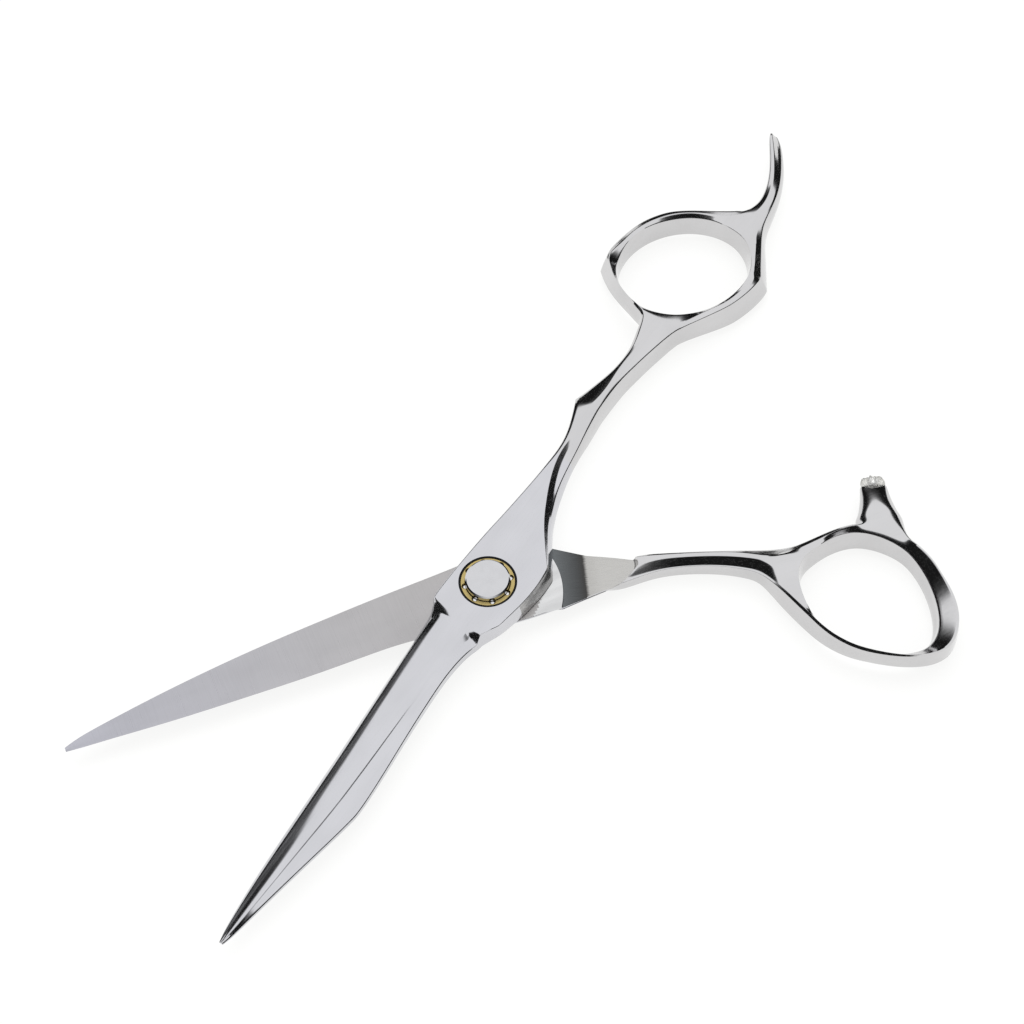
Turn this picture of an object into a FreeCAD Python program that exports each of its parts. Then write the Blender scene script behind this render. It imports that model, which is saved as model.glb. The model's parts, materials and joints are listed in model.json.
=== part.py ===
"""Hair cutting shears, six inch class, with a fixed finger rest and a ball bearing pivot.

Frame: the origin is the middle of the pivot's rear face, which rests on the table, +Z runs up along
the pivot's axis, and +X bisects the open blades and points at their tips. Millimetres throughout.
The finger half lies on top and is turned half the opening towards +Y; the thumb half lies below it
and is turned the same amount towards -Y. Each half is drawn along its own blade, pivot at the origin,
tip on +X, with Z = 0 on the plane where the two blades meet.
"""

import FreeCAD
import Part
import math
import os
import Sketcher
from FreeCAD import Placement, Rotation, Vector

doc = FreeCAD.newDocument("HairShears")

# ---------------------------------------------------------------- driving dimensions
DIMENSIONS = [
    ("halfopening", 16.9, "half the angle between the blades as they lie open, degrees"),
    ("meetheight", 3.6, "table to the plane where the blades meet"),
    ("bladegap", 0.02, "each blade's inner face to the meeting plane"),
    ("bosstop", 3.2, "thickness of the finger half at the pivot"),
    ("bossbase", 3.0, "thickness of the thumb half at the pivot"),
    ("ringtop", 2.6, "top of the handles above the meeting plane"),
    ("ringbase", 2.4, "underside of the handles below the meeting plane"),
    ("ridedrop", 0.3, "step down from the ride to the flat behind it"),
    ("rideradius", 12.3, "outer radius of the half-moon ride"),
    ("fingermajor", 11.4, "finger ring hole, half its long axis"),
    ("fingerminor", 9.8, "finger ring hole, half its short axis"),
    ("thumbmajor", 11.4, "thumb ring hole, half its long axis"),
    ("thumbminor", 9.4, "thumb ring hole, half its short axis"),
    ("ringbevel", 0.8, "bevel around each ring hole"),
    ("postradius", 2.0, "plain part of the pivot post"),
    ("threadradius", 1.75, "threaded part of the pivot post, M3.5"),
    ("flatwidth", 3.2, "across the two flats that key the post"),
    ("headradius", 4.2, "rear head of the post"),
    ("headheight", 1.0, "rear head of the post"),
    ("headchamfer", 0.2, "rear head of the post"),
    ("runclear", 0.03, "running clearance on a radius"),
    ("keyclear", 0.02, "clearance of the keyed hole"),
    ("bushouter", 2.6, "bush in the finger half, outer radius"),
    ("pocketradius", 4.75, "bearing pocket in the finger half"),
    ("pocketdepth", 1.8, "bearing pocket in the finger half"),
    ("raceheight", 0.4, "hardened race on the pocket's floor"),
    ("ballradius", 0.6, "bearing balls"),
    ("ballpitch", 3.75, "radius of the circle of ball centres"),
    ("ballcount", 8, "bearing balls"),
    ("cageouter", 4.4, "brass cage, outer radius"),
    ("cageinner", 3.42, "brass cage, inner radius"),
    ("cageheight", 1.25, "brass cage"),
    ("sealinner", 4.44, "black seal, inner radius"),
    ("sealheight", 1.35, "black seal"),
    ("dialradius", 3.65, "polished disc of the tension dial"),
    ("dialproud", 1.0, "top of the dial above the finger half"),
    ("dialhub", 3.1, "hub of the dial inside the balls"),
    ("lockouter", 2.3, "nylon lock ring in the dial"),
    ("lockheight", 0.5, "nylon lock ring in the dial"),
    ("washerinner", 2.15, "sliding washer between the blades"),
    ("washerouter", 4.5, "sliding washer between the blades"),
    ("washerheight", 0.28, "sliding washer between the blades"),
    ("bumperradius", 2.1, "clear bumper"),
    ("bumperlength", 2.2, "clear bumper"),
    ("studradius", 0.8, "threaded stud of the bumper"),
    ("studlength", 5.2, "threaded stud of the bumper"),
]

sheet = doc.addObject("Spreadsheet::Sheet", "Dimensions")
for row, (alias, value, meaning) in enumerate(DIMENSIONS, start=1):
    sheet.set(f"A{row}", meaning)
    sheet.set(f"B{row}", str(value))
    sheet.setAlias(f"B{row}", alias)
doc.recompute()


def dim(alias):
    return float(getattr(sheet, alias))


# ---------------------------------------------------------------- outlines of the two halves
# Each outline is a list of runs; a run is drawn as one smooth curve, and runs meet at corners.

# The finger half's blade is welded to its handle along x = -27
FINGER_BOSS = [
    [(-27.0, -4.35), (-16.0, -4.8), (-5.0, -5.6), (1.0, -5.85), (6.8, -5.85)],
    [(6.8, -5.85), (8.0, -0.8)],
    [(8.0, -0.8), (8.4, 1.9)],
    [(8.4, 1.9), (8.7, 4.4)],
    [(8.7, 4.4), (6.5, 5.8)],
    [(6.5, 5.8), (2.4, 7.0), (-1.5, 7.65), (-5.0, 7.9), (-7.9, 7.7)],
    [(-7.9, 7.7), (-13.3, 3.7), (-17.1, 1.75), (-21.0, 0.5), (-27.0, -0.9)],
    [(-27.0, -0.9), (-27.0, -4.35)],
]
# Edge of the flat panel on top of the boss, towards the ring's side, and how far below it the
# scooped side ends
PANEL_EDGE = [
    (-7.5, 6.5, 1.6),
    (-12.7, 3.0, 1.4),
    (-16.0, 0.9, 1.5),
    (-20.0, -1.3, 1.5),
    (-24.0, -2.7, 1.3),
    (-28.0, -3.4, 1.0),
]
FINGER_HANDLE = [
    [(-27.0, -4.35), (-29.3, -4.45), (-32.0, -5.1), (-35.0, -6.1), (-39.2, -7.7)],
    [(-39.2, -7.7), (-42.8, -6.35), (-46.0, -5.6), (-50.5, -5.3), (-54.5, -5.9), (-57.5, -6.9),
     (-59.6, -8.3), (-60.9, -10.8), (-62.1, -13.6), (-64.0, -17.0), (-67.3, -19.7)],
    [(-67.3, -19.7), (-70.0, -19.75), (-74.0, -19.35), (-78.0, -18.3), (-81.0, -16.5),
     (-84.0, -13.0), (-87.0, -7.8), (-88.6, -5.3), (-90.5, -3.7), (-93.5, -3.1), (-97.0, -3.6),
     (-100.5, -5.1), (-104.0, -7.3), (-108.2, -10.2)],
    [(-108.2, -10.2), (-109.4, -10.2), (-109.4, -9.0)],
    [(-109.4, -9.0), (-104.5, -4.9), (-100.0, -2.4), (-95.0, -0.8), (-91.0, 0.1), (-87.0, 1.5),
     (-83.0, 3.5), (-79.0, 6.1)],
    [(-79.0, 6.1), (-76.0, 5.9), (-72.0, 5.1), (-68.0, 3.5), (-64.0, 1.2), (-60.0, -0.7),
     (-56.0, -1.7), (-50.0, -2.8), (-42.0, -3.3), (-36.0, -2.8), (-27.0, -0.9)],
    [(-27.0, -0.9), (-27.0, -4.35)],
]
FINGER_HOLE_CENTRE = (-73.3, -7.1)
FINGER_HOLE_ANGLE = -31.0
# Height of the finger handle's top and underside along its length: x, top, underside
FINGER_SIDE = [
    (-26.9, 3.2, 0.02),
    (-29.5, 3.0, 0.02),
    (-33.0, 2.8, -1.3),
    (-38.0, 2.65, -2.1),
    (-48.0, 2.6, -2.3),
    (-60.0, 2.6, -2.4),
    (-84.0, 2.6, -2.4),
    (-90.0, 2.3, -1.9),
    (-99.0, 1.9, -1.3),
    (-109.0, 1.5, -0.7),
]

# Line where the thumb half's blade is welded to its handle
THUMB_BOSS = [
    [(-17.4, 0.0), (-13.2, -3.8), (-8.0, -6.0), (-2.0, -6.6), (3.8, -6.4), (11.0, -6.2)],
    [(11.0, -6.2), (11.0, 3.9)],
    [(11.0, 3.9), (7.0, 5.3), (3.0, 6.6), (-2.0, 7.4), (-8.0, 7.6), (-14.2, 7.4)],
    [(-14.2, 7.4), (-17.4, 0.0)],
]
THUMB_TAIL = [
    [(-14.2, 7.4), (-18.3, 7.3), (-22.0, 7.3), (-25.5, 7.4)],
    [(-25.5, 7.4), (-25.5, 4.3)],
    [(-25.5, 4.3), (-22.0, 2.6), (-17.4, 0.0)],
    [(-17.4, 0.0), (-14.2, 7.4)],
]
THUMB_HANDLE = [
    [(-18.3, 7.3), (-20.4, 6.6), (-22.8, 5.5), (-24.2, 3.9)],
    [(-24.2, 3.9), (-27.0, 4.7), (-33.7, 7.0), (-40.3, 9.4), (-45.0, 11.7), (-49.0, 12.6),
     (-54.0, 12.8), (-58.5, 12.8), (-61.4, 13.4), (-64.5, 16.0), (-66.8, 19.5), (-67.9, 23.0),
     (-68.2, 27.0), (-67.8, 31.0), (-66.4, 34.8), (-63.8, 38.0), (-60.2, 39.7), (-56.4, 38.9),
     (-52.8, 36.8), (-49.0, 33.4), (-46.0, 28.8), (-44.5, 23.8), (-43.5, 19.0), (-42.4, 15.8),
     (-39.8, 13.0), (-35.3, 10.4), (-30.0, 8.5), (-25.3, 7.5), (-18.3, 7.3)],
]
THUMB_HOLE_CENTRE = (-56.1, 25.7)
THUMB_HOLE_ANGLE = 108.0
# Height of the thumb handle's raised top and of its underside: x, top, underside
THUMB_SIDE = [
    (-14.0, 0.6, -2.7),
    (-20.0, 0.9, -2.5),
    (-24.0, 1.3, -2.4),
    (-34.0, 1.6, -2.4),
    (-42.0, 2.3, -2.4),
    (-50.0, 2.6, -2.4),
    (-70.0, 2.6, -2.4),
]
# Bumper post on the thumb ring: start, end, and radii there
STUB_START = Vector(-64.0, 15.2, 0.1)
STUB_END = Vector(-66.5, 7.1, 0.1)
STUB_START_RADIUS = 2.5
STUB_END_RADIUS = 2.4

# Finger blade: x, cutting edge y, back y, height of the crown, y of the ridge, height of the back
FINGER_BLADE = [
    (5.0, -5.5, 4.7, 3.15, 1.8, 1.6),
    (12.0, -5.05, 3.8, 2.9, 1.8, 1.35),
    (20.0, -4.55, 3.4, 2.55, 1.8, 1.2),
    (28.0, -4.0, 3.8, 2.3, 1.8, 1.1),
    (36.0, -3.4, 4.6, 2.15, 1.8, 1.05),
    (43.8, -2.95, 5.05, 2.05, 1.7, 1.0),
    (52.0, -2.5, 3.45, 1.8, 1.3, 0.9),
    (60.0, -1.9, 2.1, 1.55, 0.9, 0.8),
    (67.0, -1.15, 1.1, 1.2, 0.5, 0.65),
    (71.6, -0.4, 0.4, 0.75, 0.15, 0.4),
]
# Thumb blade, seen from its own back, so the same columns with y turned over
THUMB_BLADE = [
    (9.0, -4.6, 6.3, 2.5, 1.8, 1.3),
    (16.0, -3.3, 6.15, 2.4, 1.8, 1.2),
    (24.0, -3.25, 5.9, 2.3, 1.8, 1.15),
    (32.0, -3.15, 5.55, 2.2, 1.7, 1.1),
    (40.0, -2.75, 5.0, 2.1, 1.5, 1.0),
    (48.0, -2.35, 4.25, 1.9, 1.3, 0.95),
    (56.0, -1.8, 3.3, 1.65, 1.0, 0.85),
    (64.0, -1.1, 2.1, 1.3, 0.6, 0.7),
    (71.6, -0.45, 0.45, 0.75, 0.15, 0.4),
]
HOLLOW_DEPTH = 0.1
RIDE_WIDTH = 0.8


# ---------------------------------------------------------------- shape helpers
def outline_face(runs, z):
    """A flat face at height z, bounded by smooth runs that meet at corners."""
    edges = []
    for run in runs:
        points = [Vector(x, y, z) for x, y in run]
        if len(points) == 2:
            edges.append(Part.LineSegment(*points).toShape())
        else:
            curve = Part.BSplineCurve()
            curve.interpolate(points)
            edges.append(curve.toShape())
    return Part.Face(Part.Wire(edges))


def slab(runs, low, high):
    """The outline as a solid between two heights."""
    return outline_face(runs, low).extrude(Vector(0, 0, high - low))


def side_profile(rows):
    """A solid wide enough for any handle, with the given top and underside along x."""
    reach = 80.0
    top = [Vector(x, -reach, z) for x, z, _ in rows]
    base = [Vector(x, -reach, z) for x, _, z in rows]
    upper = Part.BSplineCurve()
    upper.interpolate(top)
    edges = [upper.toShape(), Part.LineSegment(top[-1], base[-1]).toShape()]
    for a, b in zip(reversed(base[1:]), reversed(base[:-1])):
        edges.append(Part.LineSegment(a, b).toShape())
    edges.append(Part.LineSegment(base[0], top[0]).toShape())
    return Part.Face(Part.Wire(edges)).extrude(Vector(0, 2 * reach, 0))


def ellipse_wire(centre, major, minor, angle, z):
    """A flat ellipse whose long axis is turned by angle."""
    ellipse = Part.Ellipse(Vector(0, 0, 0), major, minor)
    wire = Part.Wire(ellipse.toShape())
    wire.Placement = Placement(Vector(*centre, z), Rotation(Vector(0, 0, 1), angle))
    return wire


def ring_hole(centre, major, minor, angle, top, base, bevel):
    """The finger hole: a straight middle with a bevel at each end."""
    def at(grow, z):
        return ellipse_wire(centre, major + grow, minor + grow, angle, z)

    over = 0.5
    middle = Part.makeLoft([at(0, base - over), at(0, top + over)], True, True)
    upper = Part.makeLoft([at(0, top - bevel), at(bevel + over, top + over)], True, True)
    lower = Part.makeLoft([at(bevel + over, base - over), at(0, base + bevel)], True, True)
    return middle.fuse([upper, lower])


def blade_section(x, edge, back, crown, ridge, back_height, gap):
    """Section of a convex blade: hollow inside, crowned outside, bevelled to its back."""
    span = ridge - edge
    middle = (edge + back) / 2
    ride = min(RIDE_WIDTH, 0.25 * (back - edge))
    rows = [
        (edge, gap),
        (edge + 0.06 * span, gap + 0.19 * crown),
        (edge + 0.30 * span, gap + 0.70 * crown),
        (edge + 0.56 * span, gap + 0.94 * crown),
        (ridge, gap + crown),
        (back - 0.05 * (back - ridge), gap + back_height),
        (back, gap),
        (back - ride, gap),
        (middle, gap + HOLLOW_DEPTH),
        (edge + ride, gap),
    ]
    points = [Vector(x, y, z) for y, z in rows]
    return Part.makePolygon(points + points[:1])


def blade(rows, gap):
    """The blade as one ruled loft through its sections."""
    sections = [blade_section(*row, gap) for row in rows]
    return Part.makeLoft(sections, True, True)


def turned_over(shape):
    """The same shape turned half a turn about its own length."""
    over = shape.copy()
    over.rotate(Vector(0, 0, 0), Vector(1, 0, 0), 180)
    return over


def cylinder(radius, low, high, centre=(0.0, 0.0)):
    return Part.makeCylinder(radius, high - low, Vector(*centre, low))


# ---------------------------------------------------------------- the two halves
def finger_placement():
    return Placement(Vector(0, 0, dim("meetheight")), Rotation(Vector(0, 0, 1), dim("halfopening")))


def thumb_placement():
    return Placement(Vector(0, 0, dim("meetheight")), Rotation(Vector(0, 0, 1), -dim("halfopening")))


def add_shape(label, shape, placement):
    """A sub-part whose shape is sculpted from curves, cleaned and placed."""
    feature = doc.addObject("Part::Feature", label)
    feature.Label = label
    solids = shape.Solids
    feature.Shape = solids[0] if len(solids) == 1 else Part.makeCompound(solids)
    feature.Placement = placement
    return feature


def scoop_cutter():
    """Removes the side of the boss outside the panel's edge, down to the scoop's lower edge."""
    wires = []
    top = dim("bosstop")
    for x, y, z in PANEL_EDGE:
        points = [
            Vector(x, y, top + 0.4),
            Vector(x, y, top),
            Vector(x, y + 1.0, z),
            Vector(x, y + 6.0, z),
            Vector(x, y + 6.0, top + 0.4),
        ]
        wires.append(Part.makePolygon(points + points[:1]))
    return Part.makeLoft(wires, True, True)


def make_finger_blade():
    gap = dim("bladegap")
    top = dim("bosstop")
    boss = slab(FINGER_BOSS, gap, top)
    slope = [(-9.0, 7.1, top), (-5.0, 7.1, top), (1.0, 6.9, top), (7.0, 5.6, top)]
    wires = []
    for x, y, z in slope:
        points = [Vector(x, y, z), Vector(x, y + 1.2, z - top * 1.2), Vector(x, y + 3.0, z)]
        wires.append(Part.makePolygon(points + points[:1]))
    side = Part.makeLoft(wires, True, True)
    body = boss.cut([side, scoop_cutter()]).fuse(blade(FINGER_BLADE, gap))
    pocket = cylinder(dim("pocketradius"), top - dim("pocketdepth"), top + 1)
    bore = cylinder(dim("bushouter"), -1, top)
    return add_shape("finger_blade", body.cut([pocket, bore]).removeSplitter(), finger_placement())


def make_finger_handle():
    prism = slab(FINGER_HANDLE, -4.0, 4.0)
    body = prism.common(side_profile(FINGER_SIDE))
    hole = ring_hole(
        FINGER_HOLE_CENTRE, dim("fingermajor"), dim("fingerminor"), FINGER_HOLE_ANGLE,
        dim("ringtop"), -dim("ringbase"), dim("ringbevel"),
    )
    return add_shape("finger_handle", body.cut([hole, scoop_cutter()]), finger_placement())


def make_thumb_blade():
    gap = dim("bladegap")
    base = -dim("bossbase")
    boss = slab(THUMB_BOSS, base, -gap)
    behind = slab(THUMB_BOSS, base - 1, 1).cut(cylinder(dim("rideradius"), -9, 9))
    behind = behind.common(Part.makeBox(30, 40, 8, Vector(-30, -20, -dim("ridedrop"))))
    body = boss.cut(behind).fuse(turned_over(blade(THUMB_BLADE, gap)))
    bevel_line = [(-20.0, 6.0, base), (-4.0, 5.6, base), (3.0, 4.6, base), (11.0, 2.0, base)]
    wires = []
    for x, y, z in bevel_line:
        points = [Vector(x, y, z - 0.01), Vector(x, y + 4.0, z - 0.01), Vector(x, y + 4.0, z + 6.0)]
        wires.append(Part.makePolygon(points + points[:1]))
    body = body.cut(Part.makeLoft(wires, True, True))
    head = cylinder(dim("headradius") + dim("keyclear"), base - 1, keyed_level())
    washer = cylinder(dim("washerouter") + dim("keyclear"), -dim("washerheight") - 0.01, 1)
    body = body.cut([head, washer, keyed_solid(dim("keyclear"), base, 1)])
    return add_shape("thumb_blade", body.removeSplitter(), thumb_placement())


def keyed_level():
    """Where the rear head's shoulder seats in the thumb half."""
    return -dim("meetheight") + dim("headheight")


def keyed_solid(grow, low, high):
    """A round bar with two flats, as wide as the post's key plus grow all round."""
    width = dim("flatwidth") + 2 * grow
    box = Part.makeBox(20, width, high - low, Vector(-10, -width / 2, low))
    return cylinder(dim("postradius") + grow, low, high).common(box)


def make_thumb_handle():
    gap = dim("bladegap")
    drop = -dim("ridedrop")
    side = side_profile(THUMB_SIDE)
    raised = slab(THUMB_HANDLE, -4.0, 4.0).common(side)
    tail = slab(THUMB_TAIL, -dim("bossbase"), drop)
    hole = ring_hole(
        THUMB_HOLE_CENTRE, dim("thumbmajor"), dim("thumbminor"), THUMB_HOLE_ANGLE,
        dim("ringtop"), -dim("ringbase"), dim("ringbevel"),
    )
    along = STUB_END - STUB_START
    stub = Part.makeCone(STUB_START_RADIUS, STUB_END_RADIUS, along.Length, STUB_START, along)
    body = raised.fuse([tail, stub]).cut(hole)
    drill = Part.makeCylinder(dim("studradius"), 4.0, STUB_END, -along)
    return add_shape("thumb_handle", body.cut(drill), thumb_placement())


# ---------------------------------------------------------------- turned and moulded pieces
def origin_plane(body, role):
    for feature in body.Origin.OriginFeatures:
        if feature.Role == role:
            return feature
    raise ValueError(role)


def new_body(label):
    body = doc.addObject("PartDesign::Body", label)
    body.Label = label
    return body


def turned_body(label, profile, placement):
    """A body of revolution about Z: profile holds radius and height expressions of its corners."""
    body = new_body(label)
    sketch = body.newObject("Sketcher::SketchObject", label + "_profile")
    sketch.AttachmentSupport = [(origin_plane(body, "XZ_Plane"), "")]
    sketch.MapMode = "FlatFace"
    corners = [(value_of(r), value_of(z)) for r, z in profile]
    count = len(corners)
    for index in range(count):
        start = Vector(*corners[index], 0)
        end = Vector(*corners[(index + 1) % count], 0)
        sketch.addGeometry(Part.LineSegment(start, end), False)
    for index in range(count):
        following = (index + 1) % count
        sketch.addConstraint(Sketcher.Constraint("Coincident", index, 2, following, 1))
    for index, (radius, height) in enumerate(profile):
        for kind, expression in (("DistanceX", radius), ("DistanceY", height)):
            value = value_of(expression)
            if abs(value) < 1e-9:
                other = -2 if kind == "DistanceX" else -1
                sketch.addConstraint(Sketcher.Constraint("PointOnObject", index, 1, other))
                continue
            which = sketch.addConstraint(Sketcher.Constraint(kind, -1, 1, index, 1, value))
            name = f"{kind}{index}"
            sketch.renameConstraint(which, name)
            sketch.setExpression(f"Constraints.{name}", bound(expression))
    turned = body.newObject("PartDesign::Revolution", label + "_turned")
    turned.Profile = sketch
    turned.ReferenceAxis = (sketch, ["V_Axis"])
    turned.Angle = 360
    body.Placement = placement
    return body


def value_of(expression):
    """The number an expression of sheet aliases gives."""
    total = 0.0
    for sign, word in signed_words(expression):
        total += sign * (float(word) if word[0].isdigit() else dim(word))
    return total


def signed_words(expression):
    words = expression.replace("-", " -").replace("+", " +").split()
    pairs = []
    sign = 1
    for word in words:
        if word in "+-":
            sign = 1 if word == "+" else -1
            continue
        if word[0] in "+-":
            sign = 1 if word[0] == "+" else -1
            word = word[1:]
        pairs.append((sign, word))
        sign = 1
    return pairs


def bound(expression):
    """The same expression written against the spreadsheet."""
    parts = []
    for sign, word in signed_words(expression):
        name = word if word[0].isdigit() else f"Dimensions.{word}"
        parts.append(("+ " if sign > 0 else "- ") + name)
    text = " ".join(parts)
    return text[2:] if text.startswith("+ ") else text


def make_post():
    """Keyed post with a rear head below and an M3.5 thread above, one turned piece."""
    head_top = "headheight - meetheight"
    body = turned_body(
        "pivot_post",
        [
            ("0", "0 - meetheight"),
            ("headradius - headchamfer", "0 - meetheight"),
            ("headradius", "headchamfer - meetheight"),
            ("headradius", head_top),
            ("postradius", head_top),
            ("postradius", "bosstop - pocketdepth - 0.05"),
            ("threadradius", "bosstop - pocketdepth + 0.2"),
            ("threadradius", "bosstop + dialproud - 0.8"),
            ("0", "bosstop + dialproud - 0.8"),
        ],
        thumb_placement(),
    )
    sketch = body.newObject("Sketcher::SketchObject", "pivot_post_flats")
    sketch.AttachmentSupport = [(origin_plane(body, "XY_Plane"), "")]
    sketch.MapMode = "FlatFace"
    sketch.AttachmentOffset = Placement(Vector(0, 0, keyed_level()), Rotation())
    sketch.setExpression("AttachmentOffset.Base.z", "Dimensions.headheight - Dimensions.meetheight")
    half = dim("flatwidth") / 2
    for sign in (1, -1):
        first = sketch.GeometryCount
        near, far = sign * half, sign * (half + 2)
        corners = [(-4, near), (4, near), (4, far), (-4, far)]
        for index in range(4):
            start = Vector(*corners[index], 0)
            end = Vector(*corners[(index + 1) % 4], 0)
            sketch.addGeometry(Part.LineSegment(start, end), False)
        for index in range(4):
            following = first + (index + 1) % 4
            sketch.addConstraint(Sketcher.Constraint("Coincident", first + index, 2, following, 1))
        which = sketch.addConstraint(Sketcher.Constraint("DistanceY", -1, 1, first, 1, near))
        name = "upperflat" if sign > 0 else "lowerflat"
        sketch.renameConstraint(which, name)
        text = "Dimensions.flatwidth / 2" if sign > 0 else "-Dimensions.flatwidth / 2"
        sketch.setExpression(f"Constraints.{name}", text)
    flats = body.newObject("PartDesign::Pocket", "pivot_post_key")
    flats.Profile = sketch
    flats.Reversed = True
    flats.setExpression("Length", "Dimensions.meetheight - Dimensions.headheight - Dimensions.washerheight")
    return body


def make_turned_pieces():
    finger = finger_placement()
    thumb = thumb_placement()
    floor = "bosstop - pocketdepth"
    race_top = floor + " + raceheight"
    turned_body(
        "pivot_bush",
        [
            ("postradius + runclear", "bladegap + 0.1"),
            ("bushouter", "bladegap + 0.1"),
            ("bushouter", floor),
            ("postradius + runclear", floor),
        ],
        finger,
    )
    turned_body(
        "bearing_race",
        [
            ("postradius + 0.3", floor),
            ("pocketradius", floor),
            ("pocketradius", race_top),
            ("postradius + 0.3", race_top),
        ],
        finger,
    )
    turned_body(
        "dial_seal",
        [
            ("sealinner", race_top),
            ("pocketradius", race_top),
            ("pocketradius", race_top + " + sealheight - 0.1"),
            ("pocketradius - 0.1", race_top + " + sealheight"),
            ("sealinner", race_top + " + sealheight"),
        ],
        finger,
    )
    top = "bosstop + dialproud"
    turned_body(
        "tension_dial",
        [
            ("0", top + " - 0.75"),
            ("threadradius + 0.02", top + " - 0.75"),
            ("threadradius + 0.02", race_top + " + 0.85"),
            ("lockouter", race_top + " + 0.85"),
            ("lockouter", race_top + " + 0.85 - lockheight"),
            ("threadradius + 0.02", race_top + " + 0.85 - lockheight"),
            ("threadradius + 0.02", race_top + " + 0.1"),
            ("dialhub", race_top + " + 0.1"),
            ("dialhub", race_top + " + 0.81"),
            ("dialradius", race_top + " + 1.36"),
            ("dialradius", top + " - 0.25"),
            ("dialradius - 0.25", top),
            ("0", top),
        ],
        thumb,
    )
    turned_body(
        "dial_lock_ring",
        [
            ("threadradius", race_top + " + 0.85 - lockheight"),
            ("lockouter", race_top + " + 0.85 - lockheight"),
            ("lockouter", race_top + " + 0.85"),
            ("threadradius", race_top + " + 0.85"),
        ],
        thumb,
    )
    turned_body(
        "blade_washer",
        [
            ("washerinner", "0 - washerheight"),
            ("washerouter", "0 - washerheight"),
            ("washerouter", "0"),
            ("washerinner", "0"),
        ],
        thumb,
    )


def make_cage():
    """Brass ring with a half-round pocket for each ball, its inner top edge coned for the dial."""
    base = "bosstop - pocketdepth + raceheight + 0.1"
    body = turned_body(
        "bearing_cage",
        [
            ("cageinner", base),
            ("cageouter", base),
            ("cageouter", base + " + cageheight - 0.1"),
            ("cageouter - 0.1", base + " + cageheight"),
            ("cageinner + 0.45", base + " + cageheight"),
            ("cageinner", base + " + cageheight - 0.45"),
        ],
        finger_placement(),
    )
    sketch = body.newObject("Sketcher::SketchObject", "bearing_cage_pocket")
    sketch.AttachmentSupport = [(origin_plane(body, "XY_Plane"), "")]
    sketch.MapMode = "FlatFace"
    circle = Part.Circle(Vector(dim("ballpitch"), 0, 0), Vector(0, 0, 1), dim("ballradius") + 0.03)
    sketch.addGeometry(circle, False)
    sketch.addConstraint(Sketcher.Constraint("PointOnObject", 0, 3, -1))
    which = sketch.addConstraint(Sketcher.Constraint("DistanceX", -1, 1, 0, 3, dim("ballpitch")))
    sketch.renameConstraint(which, "pitch")
    sketch.setExpression("Constraints.pitch", "Dimensions.ballpitch")
    which = sketch.addConstraint(Sketcher.Constraint("Radius", 0, dim("ballradius") + 0.03))
    sketch.renameConstraint(which, "pocket")
    sketch.setExpression("Constraints.pocket", "Dimensions.ballradius + Dimensions.runclear")
    pocket = body.newObject("PartDesign::Pocket", "bearing_cage_pocket_cut")
    pocket.Profile = sketch
    pocket.Type = "ThroughAll"
    pocket.Midplane = True
    doc.recompute()
    pattern = body.newObject("PartDesign::PolarPattern", "bearing_cage_pockets")
    pattern.Originals = [pocket]
    pattern.Axis = (sketch, ["N_Axis"])
    pattern.Angle = 360
    pattern.setExpression("Occurrences", "Dimensions.ballcount")
    body.Tip = pattern
    return body


def make_balls():
    """The bearing balls, one solid each, equally spaced."""
    radius = dim("ballradius")
    height = dim("bosstop") - dim("pocketdepth") + dim("raceheight") + radius
    count = int(dim("ballcount"))
    balls = []
    for index in range(count):
        angle = math.radians(360.0 * index / count)
        centre = Vector(math.cos(angle), math.sin(angle), 0) * dim("ballpitch")
        centre.z = height
        balls.append(Part.makeSphere(radius - 0.005, centre))
    return add_shape("bearing_balls", Part.makeCompound(balls), finger_placement())


def along_stub():
    """Placement that puts +Z along the bumper's axis, with its base on the stub's end."""
    direction = STUB_END - STUB_START
    local = Placement(STUB_END, Rotation(Vector(0, 0, 1), direction))
    return thumb_placement().multiply(local)


def make_bumper():
    """Clear bumper with a rounded end, and the threaded stud that it is moulded on."""
    turned_body(
        "bumper_stop",
        [
            ("studradius", "0"),
            ("bumperradius", "0"),
            ("bumperradius", "bumperlength - 0.6"),
            ("bumperradius - 0.2", "bumperlength - 0.2"),
            ("bumperradius - 0.6", "bumperlength"),
            ("0", "bumperlength"),
            ("0", "studlength - 4"),
            ("studradius", "studlength - 4"),
        ],
        along_stub(),
    )
    turned_body(
        "bumper_stud",
        [
            ("0", "0 - 4"),
            ("studradius - 0.2", "0 - 4"),
            ("studradius", "0 - 3.8"),
            ("studradius", "studlength - 4"),
            ("0", "studlength - 4"),
        ],
        along_stub(),
    )


make_finger_blade()
make_finger_handle()
make_thumb_blade()
make_thumb_handle()
make_post()
make_turned_pieces()
make_cage()
make_balls()
make_bumper()
doc.recompute()

# ---------------------------------------------------------------- checks and export
for thing in doc.Objects:
    if "Invalid" in thing.State or "Error" in thing.State:
        raise RuntimeError(f"{thing.Label} did not compute: {thing.State}")

os.makedirs("parts", exist_ok=True)
for thing in doc.Objects:
    if thing.TypeId not in ("PartDesign::Body", "Part::Feature"):
        continue
    shape = thing.Shape
    if shape.isNull() or not shape.isValid() or not shape.Solids:
        raise RuntimeError(f"{thing.Label} has no valid shape")
    shape.exportStep(f"parts/{thing.Label}.step")
    print(f"{thing.Label}: {len(shape.Solids)} solid(s), {shape.Volume:.2f} mm3")
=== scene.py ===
"""Hair cutting shears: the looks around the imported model.

Each half is drawn in its own frame in millimetres, as in the part: the pivot at the origin, the blade's
tip on +X, Z = 0 on the plane where the two blades meet. placed() puts it in the shared frame, in metres.
"""

import json
import math

import bmesh
import bpy
import numpy as np
from mathutils import Matrix, Vector


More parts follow.
